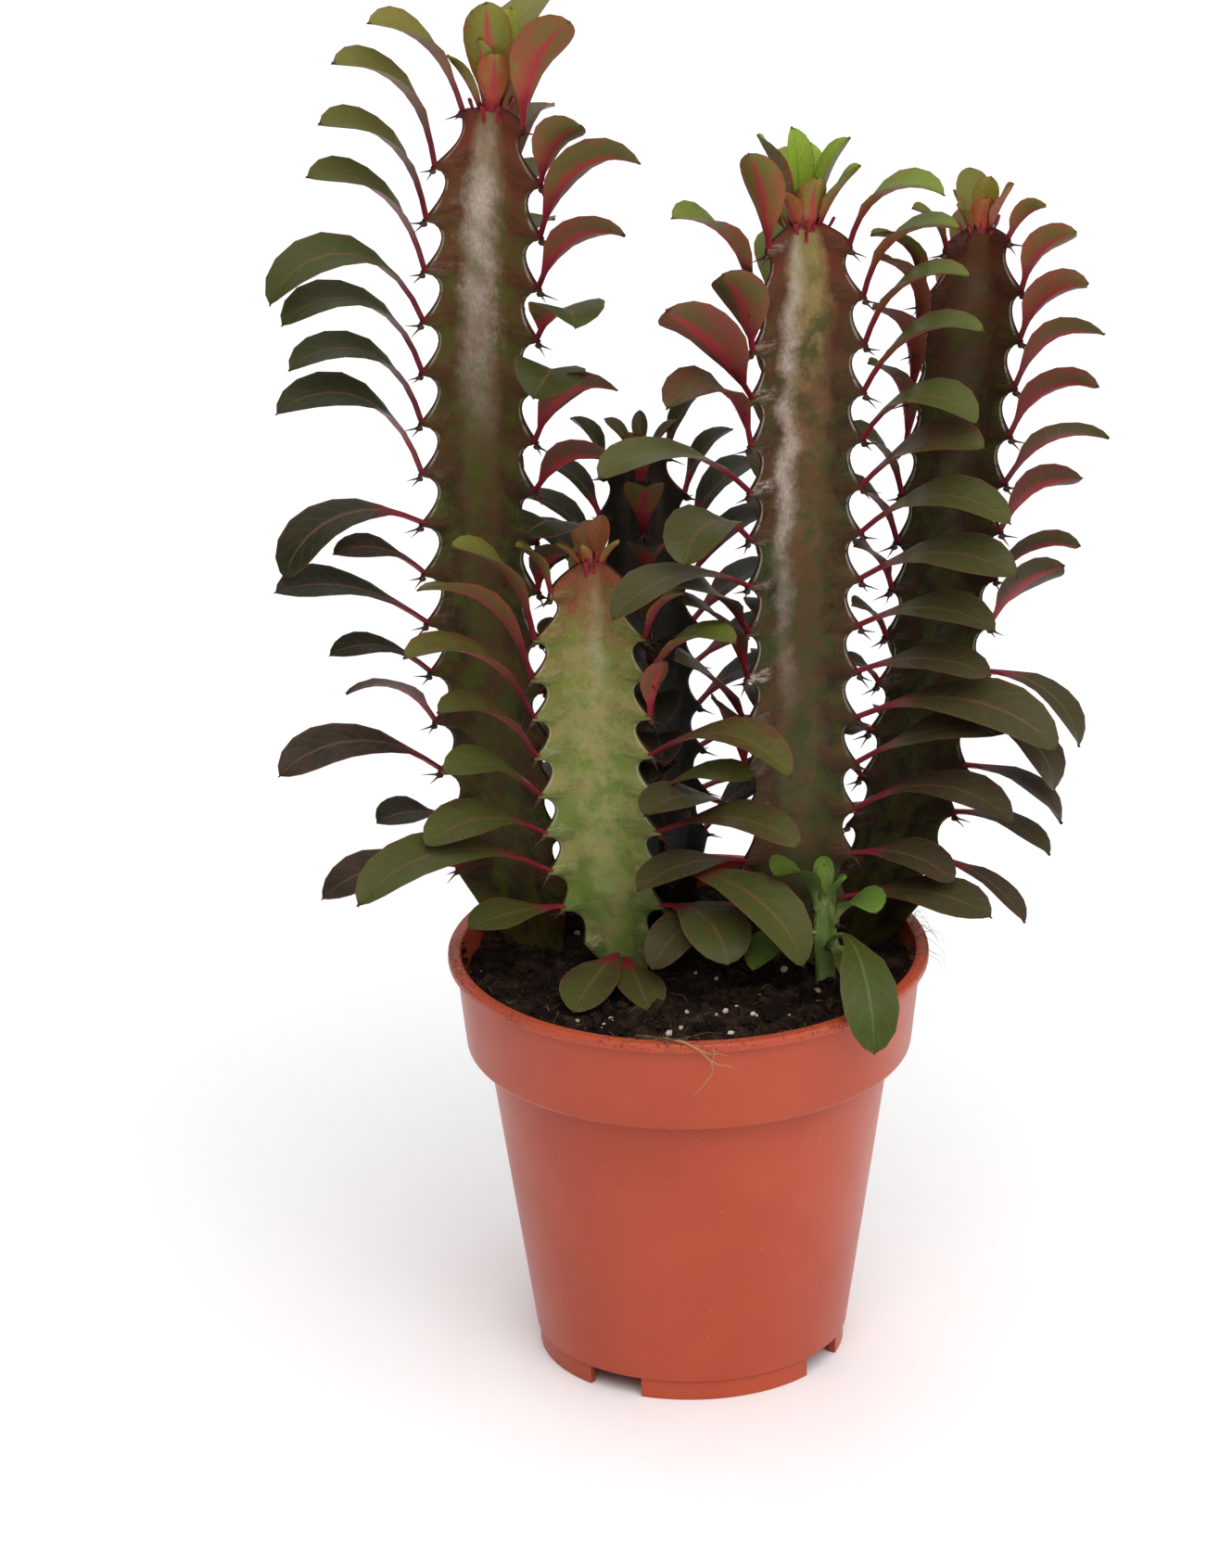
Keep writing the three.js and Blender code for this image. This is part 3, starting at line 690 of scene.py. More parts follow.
@dataclass
class Pot:
    """The nursery pot: one thin wall turned about its axis, with a stepped collar and a notched foot ring."""

    height: float = 107.0
    wall: float = 1.3
    lip_radius: float = 60.0
    lip_height: float = 2.4
    lip_overhang: float = 2.0
    lip_round: float = 0.8
    collar_foot_z: float = 82.0
    collar_foot_radius: float = 55.5
    collar_round: float = 1.5
    body_top_radius: float = 50.5
    body_foot_radius: float = 39.2
    foot_round: float = 0.5
    ring_radius: float = 38.4
    ring_wall: float = 2.0
    ring_height: float = 5.4
    floor: float = 1.4
    steps: int = 96
    notch_count: int = 4
    notch_turn: float = -31.0
    notch_span: float = 22.0
    notch_round: float = 0.5
    notch_spare: float = 0.02       # left between a notch and the underside
    drain_count: int = 6
    drain_radius: float = 3.2
    drain_circle: float = 24.0
    drain_sides: int = 28
    finish: PotPlastic = field(default_factory=PotPlastic)

    def inside(self, z: float) -> float:
        """The radius of the inner face.

        Args:
            z: the height above the ground.

        Returns:
            The radius there.
        """
        step = self.collar_foot_z + self.wall
        if z > step:
            lean = self.lip_radius - self.lip_overhang - self.collar_foot_radius
            return self.collar_foot_radius - self.wall + lean * (z - step) / (self.height - step)
        slope = (self.body_top_radius - self.body_foot_radius) / (self.collar_foot_z - self.ring_height)
        return self.body_top_radius - self.wall + slope * (z - step)

    def corners(self) -> list[Place]:
        """The wall's section.

        Returns:
            Radius, height and rounding of each corner, from the middle of the underside round to the floor.
        """
        collar_top = self.height - self.lip_height
        collar_radius = self.lip_radius - self.lip_overhang
        floor_top = self.ring_height + self.floor
        return [
            (0, self.ring_height, 0), (self.ring_radius - self.ring_wall, self.ring_height, 0.3),
            (self.ring_radius - self.ring_wall, 0, 0.25), (self.ring_radius, 0, 0.4),
            (self.ring_radius, self.ring_height, 0.1),
            (self.body_foot_radius, self.ring_height, self.foot_round),
            (self.body_top_radius, self.collar_foot_z, 1.0),
            (self.collar_foot_radius, self.collar_foot_z, self.collar_round),
            (collar_radius, collar_top, 0.5), (self.lip_radius, collar_top, self.lip_round),
            (self.lip_radius, self.height, self.lip_round), (collar_radius - self.wall, self.height, 0.6),
            (self.collar_foot_radius - self.wall, self.collar_foot_z + self.wall, 0.8),
            (self.body_top_radius - self.wall, self.collar_foot_z + self.wall, 0.5),
            (self.inside(floor_top), floor_top, 0.6), (0, floor_top, 0),
        ]

    def outline(self) -> list[Point]:
        """The section with its corners rounded.

        Returns:
            Radius and height of each point.
        """
        corners = self.corners()
        points = [corners[0][:2]]
        for before, (x, z, rounding), after in zip(corners, corners[1:], corners[2:]):
            here = Vector((x, z))
            back, ahead = Vector(before[:2]) - here, Vector(after[:2]) - here
            cut = min(rounding, 0.45 * back.length, 0.45 * ahead.length)
            first, last = here + back.normalized() * cut, here + ahead.normalized() * cut
            count = 1 if cut < 0.15 else 4
            for i in range(count + 1):
                s = i / count
                points.append(tuple(first * (1 - s) ** 2 + here * 2 * s * (1 - s) + last * s * s))
        points.append(corners[-1][:2])
        return points

    def build(self) -> None:
        """Models the pot: its section is extruded point by point, spun, and cut by notches and holes."""
        outline = self.outline()
        start = (outline[0][0] * MM, 0, outline[0][1] * MM)
        pot = added(bpy.ops.mesh.primitive_plane_add, size=MM, location=start)
        pot.name = pot.data.name = "pot_shell"
        bpy.ops.object.mode_set(mode="EDIT")
        bpy.ops.mesh.select_all(action="SELECT")
        bpy.ops.mesh.merge(type="CENTER")
        for here, after in zip(outline, outline[1:]):
            shift = ((after[0] - here[0]) * MM, 0, (after[1] - here[1]) * MM)
            bpy.ops.mesh.extrude_region_move(TRANSFORM_OT_translate={"value": shift})
        turn = {"steps": self.steps, "angle": math.tau, "use_auto_merge": True}
        rework(
            (bpy.ops.mesh.spin, {"center": (0, 0, 0), "axis": (0, 0, 1), **turn}),
            (bpy.ops.mesh.remove_doubles, {"threshold": 1e-6}),
            (bpy.ops.mesh.normals_make_consistent, {"inside": False}),
        )
        settle(pot)
        cutter = self.cutter()
        cut = pot.modifiers.new("cuts", "BOOLEAN")
        cut.operation, cut.solver, cut.object = "DIFFERENCE", "EXACT", cutter
        pick(pot)
        bpy.ops.object.modifier_apply(modifier=cut.name)
        discard(cutter)
        soften(pot, 38)
        dress(pot, self.finish.material())
        seat(pot, Finish.POT, "pot")

    def cutter(self) -> Object:
        """Models the notches and drain holes as one tool.

        Returns:
            The tool, which is removed after the cut.
        """
        tools = []
        width = 2 * self.ring_radius * math.sin(math.radians(self.notch_span / 2))
        for i in range(self.notch_count):
            tool = added(bpy.ops.mesh.primitive_cube_add, size=1, location=(0, 0, 0))
            tall = 2 * (self.ring_height - self.notch_spare)
            tool.scale = (width * MM, 4 * self.ring_wall * MM, tall * MM)
            turn = self.notch_turn + i * 360 / self.notch_count
            tool.location = Vector(bearing(turn - 90) * (self.ring_radius - self.ring_wall / 2)) * MM
            tool.rotation_euler.z = math.radians(turn)
            settle(tool)
            rework((bpy.ops.mesh.bevel, {"offset": self.notch_round * MM, "segments": 2}))
            tools.append(tool)
        for i in range(self.drain_count + 1):
            middle = bearing(i * 360 / self.drain_count) * (0 if i == self.drain_count else self.drain_circle)
            tool = added(
                bpy.ops.mesh.primitive_cylinder_add, vertices=self.drain_sides,
                radius=self.drain_radius * MM, depth=4 * self.floor * MM,
                location=(middle[0] * MM, middle[1] * MM, (self.ring_height + self.floor / 2) * MM),
            )
            settle(tool)
            tools.append(tool)
        pick(*tools)
        bpy.ops.object.join()
        return bpy.context.active_object


# Soil


@dataclass(frozen=True)
class DarkPeat:
    """Damp peat: near-black crumbs with browner, drier edges."""

    wet: Colour = (0.0115, 0.0072, 0.0050)
    dry: Colour = (0.078, 0.042, 0.025)
    speck: Colour = (0.12, 0.07, 0.045)

    def material(self) -> Material:
        """Builds the finish.

        Returns:
            The material.
        """
        paint = Paint("potting_soil")
        place = paint.place()
        specks = paint.group(dust_pattern(), scale=900.0, amount=0.5)["Specks"]
        cloud = paint.noise(place, 120.0, 5.0, 0.7).step(0.42, 0.75)
        return paint.finish(
            Base_Color=paint.coats(self.wet, (cloud, self.dry), (specks * 0.5, self.speck)), Roughness=0.9,
            Specular_IOR_Level=0.12, Normal=paint.bump(paint.noise(place, 900.0, 6.0, 0.75), 1.0, 0.0012),
        )


@dataclass(frozen=True)
class Matter:
    """A dull finish of a dark and a light colour, in clouds and differing from copy to copy."""

    name: str
    dark: Colour
    light: Colour
    cloud_scale: float
    cloud_share: float = 0.25
    lift: float = -0.15
    roughness: float = 0.85

    def material(self) -> Material:
        """Builds the finish.

        Returns:
            The material.
        """
        paint = Paint(self.name)
        cloud = paint.noise(paint.place(), self.cloud_scale, 3.0)
        share = cloud * self.cloud_share + paint.note("tint") + self.lift
        return paint.finish(
            Base_Color=paint.coats(self.dark, (share, self.light)), Roughness=self.roughness,
            Specular_IOR_Level=0.25,
        )


STRAW_FIBRE = Matter("dry_fibre", (0.040, 0.021, 0.012), (0.36, 0.21, 0.095), 500.0)
PALE_MINERAL = Matter("pale_grain", (0.20, 0.13, 0.08), (0.62, 0.55, 0.44), 700.0, 2.2, -1.15)

Spot = tuple[float, float, float, float]


@dataclass
class Soil:
    """The soil in the pot: a lumpy top, crumbs, pale grains and fibres.

    A clod of crumbs and a heap of fibres lie near the front, each with its middle and its spread.
    """

    pot: Pot
    feet: list[Point]
    top: float = 99.4
    bump: float = 0.7
    gap: float = 0.3
    rings: int = 58
    sectors: int = 180
    lump_sizes: tuple[Point, ...] = ((0.75, 6.5), (0.65, 2.9), (0.35, 1.5))     # height and width
    mound: float = 1.5
    mound_radius: float = 8.5
    mound_width: float = 5.5
    crumbs: int = 1700
    grains: int = 62
    fibres: int = 210
    clods: int = 70
    clod_place: Point = (-13.0, -48.0)
    clod_spread: Point = (11.0, 4.0)
    heap_place: Point = (-11.0, -45.0)
    heap_spread: Point = (11.0, 7.0)
    rim_crumbs: int = 240
    rim_from: float = 175.0
    rim_arc: float = 190.0
    rim_depth: float = 5.4
    hairs: int = 16
    hair_from: float = 352.0
    hair_arc: float = 22.0
    hair_radius: float = 0.085
    strand_rows: int = 8
    strand_taper: float = 0.75
    rim_roots: tuple[tuple[tuple[Place, ...], float, float], ...] = (
        (((-17, -49, 101), (-12, -53, 104.5), (-8, -55.5, 107.2), (-4.5, -58, 107.9), (-1, -60, 107.7),
          (2, -61, 106.2), (4.6, -61.4, 103.6), (5.6, -61.2, 101.5), (4.4, -60.4, 98.6), (2.2, -59.8, 95.6),
          (0.4, -59.5, 93.4)), 0.40, 1.05),
        (((2, -61, 106.2), (4.4, -61.6, 105.4), (6.8, -61.8, 105.6), (9, -61.6, 104.8)), 0.22, 1.0),
        (((4.6, -61.4, 103.6), (6.6, -61.5, 102.4), (8.6, -61.2, 102.2), (9.8, -60.8, 101.2)), 0.2, 1.05),
        (((5.2, -61.2, 104.2), (5.6, -61.9, 106.0), (5.0, -62.2, 107.4), (5.5, -62.2, 108.4)), 0.2, 1.05),
        (((-12, -53, 104.5), (-9, -56, 107.4), (-6, -58.6, 107.8), (-5, -60.3, 106.6),
          (-3.4, -60.6, 104.2)), 0.26, 0.5),
        (((-20, -46, 101), (-15, -51, 104), (-13.2, -54, 107), (-11, -55.8, 107.9),
          (-8, -56.8, 107.8)), 0.6, 0.25),
        (((-9, -50, 102), (-7, -53.5, 105.5), (-7.8, -56.4, 107.8), (-6.5, -58.4, 108.2),
          (-2, -58.4, 107.9)), 0.45, 0.2),
    )

    def surface(self, x: Array, y: Array) -> Array:
        """The soil's height with its lumps and the small mounds round the stems.

        Args:
            x: places along X.
            y: places along Y.

        Returns:
            The heights.
        """
        wave = np.sin(x * 0.21 + 1.3) * np.cos(y * 0.17) + 0.6 * np.sin(x * 0.09 - y * 0.31)
        height = self.top + self.bump * wave
        for seed, (tall, wide) in enumerate(self.lump_sizes, 1):
            height = height + tall * lumps(x, y, wide, seed)
        for foot_x, foot_y in self.feet:
            away = np.hypot(x - foot_x, y - foot_y)
            height = height + self.mound * np.exp(-((away - self.mound_radius) / self.mound_width) ** 2)
        return height

    def build(self) -> None:
        """Models all that is in the pot but the stems."""
        peat, grit, straw = DarkPeat().material(), PALE_MINERAL.material(), STRAW_FIBRE.material()
        for piece, material, nodes in (
            (self.body(), peat, ("soil",)),
            (self.scattered("soil_crumbs", self.pebble(0.30, 1), self.crumb_spots()), peat, ()),
            (self.scattered("pale_grains", self.pebble(0.22, 2), self.grain_spots()), grit, ()),
            (self.strands(), straw, ()),
        ):
            dress(piece, material)
            seat(piece, Finish.SOIL, *nodes)

    def body(self) -> Object:
        """Models the soil itself, down to the pot's floor.

        Returns:
            The closed piece.
        """
        step = self.pot.collar_foot_z + self.pot.wall
        floor_top = self.pot.ring_height + self.pot.floor + self.gap
        inset = self.gap + 0.12
        turns = np.linspace(0, 2 * math.pi, self.sectors + 1)
        rim = self.pot.inside(self.top) - inset
        rings = []
        for wall_z, z in (
            (floor_top, floor_top), (60, 60), (step, step + self.gap), (step + 0.01, step + self.gap + 0.1),
        ):
            radius = self.pot.inside(wall_z) - inset
            x, y = radius * np.cos(turns), radius * np.sin(turns)
            rings.append(np.stack([x, y, np.full_like(turns, z)], axis=1))
        for i in range(self.rings):
            radius = rim * (1 - i / self.rings) ** 0.92
            x, y = radius * np.cos(turns), radius * np.sin(turns)
            rings.append(np.stack([x, y, self.surface(x, y)], axis=1))
        points = np.array(rings)
        points[:, -1] = points[:, 0]
        soil = Skin("soil_body", points, turns, np.arange(len(rings), dtype=float)).build()
        soften(soil, 50)
        return soil

    def pebble(self, rough: float, cuts: int) -> Object:
        """Models one irregular crumb of unit radius.

        Args:
            rough: how uneven it is.
            cuts: how finely it is divided.

        Returns:
            The crumb, which is only copied.
        """
        crumb = added(bpy.ops.mesh.primitive_ico_sphere_add, subdivisions=cuts, radius=1)
        points = coordinates(crumb.data)
        bulge = 1 + rough * np.array([spread(x * 3.1, y * 5.3, z * 7.7, 1, 1) for x, y, z in points])
        move_to(crumb.data, points * bulge[:, None], 1.0)
        return crumb

    def spot(self, index: int, salt: float, reach: float, front: float = 0.0) -> Point:
        """A random place on the soil.

        Args:
            index: which place.
            salt: which set of places.
            reach: the largest distance from the pot's axis.
            front: how strongly the places crowd to the front, from 0 to 1.

        Returns:
            X and Y.
        """
        radius = reach * math.sqrt(draw(salt, index, 0, 1))
        turn = draw(salt, index, 0, 2)
        heading = 360 * turn if draw(salt, index, 0, 3) > front else 200 + 140 * turn
        spot = bearing(heading) * radius
        return spot[0], spot[1]

    def lie(self, x: float, y: float, size: float, rise: float) -> Spot:
        """X, Y, Z and size of a copy that lies on the soil."""
        return x, y, float(self.surface(x, y)) + rise * size, size

    def crumb_spots(self) -> Iterator[Spot]:
        """Places of the crumbs on the soil, in a clod at the front and along the lip.

        Yields:
            X, Y, Z and size of each.
        """
        for i in range(self.crumbs):
            x, y = self.spot(i, 11, self.pot.inside(self.top) - 1.2)
            yield self.lie(x, y, 0.35 + 1.35 * draw(11, i, 0, 4) ** 2.4, 0.25)
        for i in range(self.clods):
            x, y = (self.clod_place[k] + spread(14, i, 0, k + 1, self.clod_spread[k]) for k in (0, 1))
            yield self.lie(x, y, 0.5 + 1.3 * draw(14, i, 0, 3) ** 2, 0.6)
        for i in range(self.rim_crumbs):
            depth = draw(12, i, 0, 2) ** 1.6
            z = self.pot.height - self.rim_depth * depth
            size = 0.22 + 0.5 * draw(12, i, 0, 3) ** 2
            radius = self.pot.lip_radius - 3.45 - 0.1 * (self.pot.height - z) - 0.5 * size
            x, y, _ = bearing(self.rim_from + self.rim_arc * draw(12, i, 0, 1)) * radius
            yield x, y, z if depth > 0.05 else self.pot.height + 0.1, size

    def grain_spots(self) -> Iterator[Spot]:
        """Places of the pale grains.

        Yields:
            X, Y, Z and size of each.
        """
        for i in range(self.grains):
            x, y = self.spot(i, 13, self.pot.inside(self.top) - 1.6, 0.45)
            yield self.lie(x, y, 0.28 + 0.62 * draw(13, i, 0, 4) ** 2, 0.35)

    def scattered(self, name: str, model: Object, spots: Iterator[Spot]) -> Object:
        """Copies a crumb to many places, each turned and stretched its own way.

        Args:
            name: the piece's name.
            model: the crumb, which is removed at the end.
            spots: X, Y, Z and size of each copy.

        Returns:
            The piece.
        """
        points = coordinates(model.data)
        places, tints = [], []
        for i, (x, y, z, size) in enumerate(spots):
            about_z = Matrix.Rotation(math.tau * draw(21, i, 0, 1), 3, "Z")
            turn = about_z @ Matrix.Rotation(math.tau * draw(21, i, 0, 2), 3, "X")
            stretch = np.array([1 + 0.5 * draw(21, i, 0, 3), 1.0, 0.7 + 0.3 * draw(21, i, 0, 4)])
            places.append((points * stretch) @ np.array(turn).T * size + np.array([x, y, z]))
            tints.append(0.55 + 0.45 * draw(21, i, 0, 5))
        piece = copies(name, model, places, {"tint": tints})
        discard(model)
        soften(piece, 40)
        return piece

    def strands(self) -> Object:
        """Models the fibres that lie on the soil and over the rim.

        Returns:
            The piece.
        """
        model = added(
            bpy.ops.mesh.primitive_cylinder_add, vertices=5, radius=1, depth=1, location=(0, 0, 0.5),
            end_fill_type="TRIFAN",
        )
        settle(model)
        slice_at(*(((0, 0, i / self.strand_rows), (0, 0, 1)) for i in range(1, self.strand_rows)))
        points = coordinates(model.data)
        share = points[:, 2]
        places, tints = [], []
        for path, radius, tint in self.strand_paths():
            knots = np.linspace(0, 1, len(path))
            middle, ahead, behind = (
                np.stack([np.interp(np.clip(at, 0, 1), knots, path[:, k]) for k in range(3)], axis=1)
                for at in (share, share + 0.12, share - 0.12)
            )
            along = ahead - behind
            along /= np.linalg.norm(along, axis=1)[:, None] + 1e-9
            across = np.cross(along, np.array([0.13, 0.21, 1.0]))
            across /= np.linalg.norm(across, axis=1)[:, None] + 1e-9
            above = np.cross(across, along)
            thin = radius * (1 - self.strand_taper * share)[:, None]
            places.append(middle + across * points[:, :1] * thin + above * points[:, 1:2] * thin)
            tints.append(tint)
        piece = copies("soil_fibres", model, places, {"tint": tints})
        discard(model)
        soften(piece, 60)
        return piece

    def strand_paths(self) -> Iterator[tuple[Array, float, float]]:
        """The courses of the fibres.

        Yields:
            The points, the radius and the tint of each.
        """
        reach = self.pot.inside(self.top) - 2.5
        for i in range(self.fibres):
            if i % 5 < 2:
                x, y = self.spot(i, 31, reach, 0.6)
            else:
                x, y = (self.heap_place[k] + spread(31, i, 0, 11 + k, self.heap_spread[k]) for k in (0, 1))
            heading = 360 * draw(31, i, 0, 5)
            length = 1.5 + 6.5 * draw(31, i, 0, 6) ** 2
            points = []
            for k in range(9):
                s = k / 8
                spot = np.array([x, y, 0.0]) + bearing(heading + 60 * spread(31, i, 0, 7, 1) * s) * length * s
                away = math.hypot(spot[0], spot[1])
                if away > reach:
                    spot = spot * reach / away
                arch = (0.2 + 1.1 * draw(31, i, 0, 8)) * math.sin(math.pi * min(1, s * 1.15))
                spot[2] = float(self.surface(spot[0], spot[1])) + 0.15 + arch
                points.append(spot)
            radius = 0.10 + 0.14 * draw(31, i, 0, 9) ** 2
            yield np.array(points), radius, 0.14 + 0.5 * draw(31, i, 0, 10) ** 1.6
        for path, radius, tint in self.rim_roots:
            yield np.array(path), radius, tint
        for i in range(self.hairs):
            heading = self.hair_from + self.hair_arc * draw(33, i, 0, 1)
            inner, rim = self.pot.lip_radius - 4.2, self.pot.lip_radius
            lean = heading + 9 * spread(33, i, 0, 2, 1)
            length = 1.5 + 5.5 * draw(33, i, 0, 3)
            top = self.pot.height + 0.5 + 2.0 * draw(33, i, 0, 4)
            yield np.array([
                bearing(heading) * inner + np.array([0, 0, self.top + 1.5]),
                bearing(heading) * (rim - 2.6) + np.array([0, 0, self.pot.height + 0.3]),
                bearing(0.6 * heading + 0.4 * lean) * (rim - 0.8) + np.array([0, 0, top]),
                bearing(lean) * (rim + 0.5 * length) + np.array([0, 0, top - 0.3 * length]),
                bearing(lean) * (rim + 0.75 * length) + np.array([0, 0, top - 0.9 * length]),
            ]), self.hair_radius, 0.12 + 0.3 * draw(33, i, 0, 5)


# Stems


@dataclass(frozen=True)
class LeafRule:
    """How a stem's leaves run where its plan gives none: lengths, and slopes at the root and the tip."""

    length: float
    back_length: float
    young_length: float
    rise: float
    tip: float
    young_rise: float = 74.0
    young_tip: float = 30.0
    young_teeth: float = 4.0
    rise_droop: float = 26.0
    tip_droop: float = 16.0
    uneven: Numbers = (0.12, 8.0, 12.0, 16.0)      # of the length, both slopes and the swing


@dataclass(frozen=True)
class StemPlan:
    """One stem: its axis, ribs and teeth, and the leaves that have a shape of their own."""

    name: str
    seed: int
    foot: Point
    low: Point
    high: Point
    tip: Point
    apex: float
    turn: float
    reach: float
    foot_reach: float
    top_reach: float
    tooth: float
    pitch: float
    first: float
    phase: Numbers
    roll: Numbers
    rule: LeafRule
    ribs: tuple[tuple[Numbers, ...], ...]
    crown: tuple[Numbers, ...]
    base: tuple[Numbers, ...]
    crown_tints: Numbers = ()
    rib_tints: tuple[Numbers, ...] = ()
    twists: Numbers = (0.0, 0.0, 0.0)
    finish: Finish = Finish.STEM


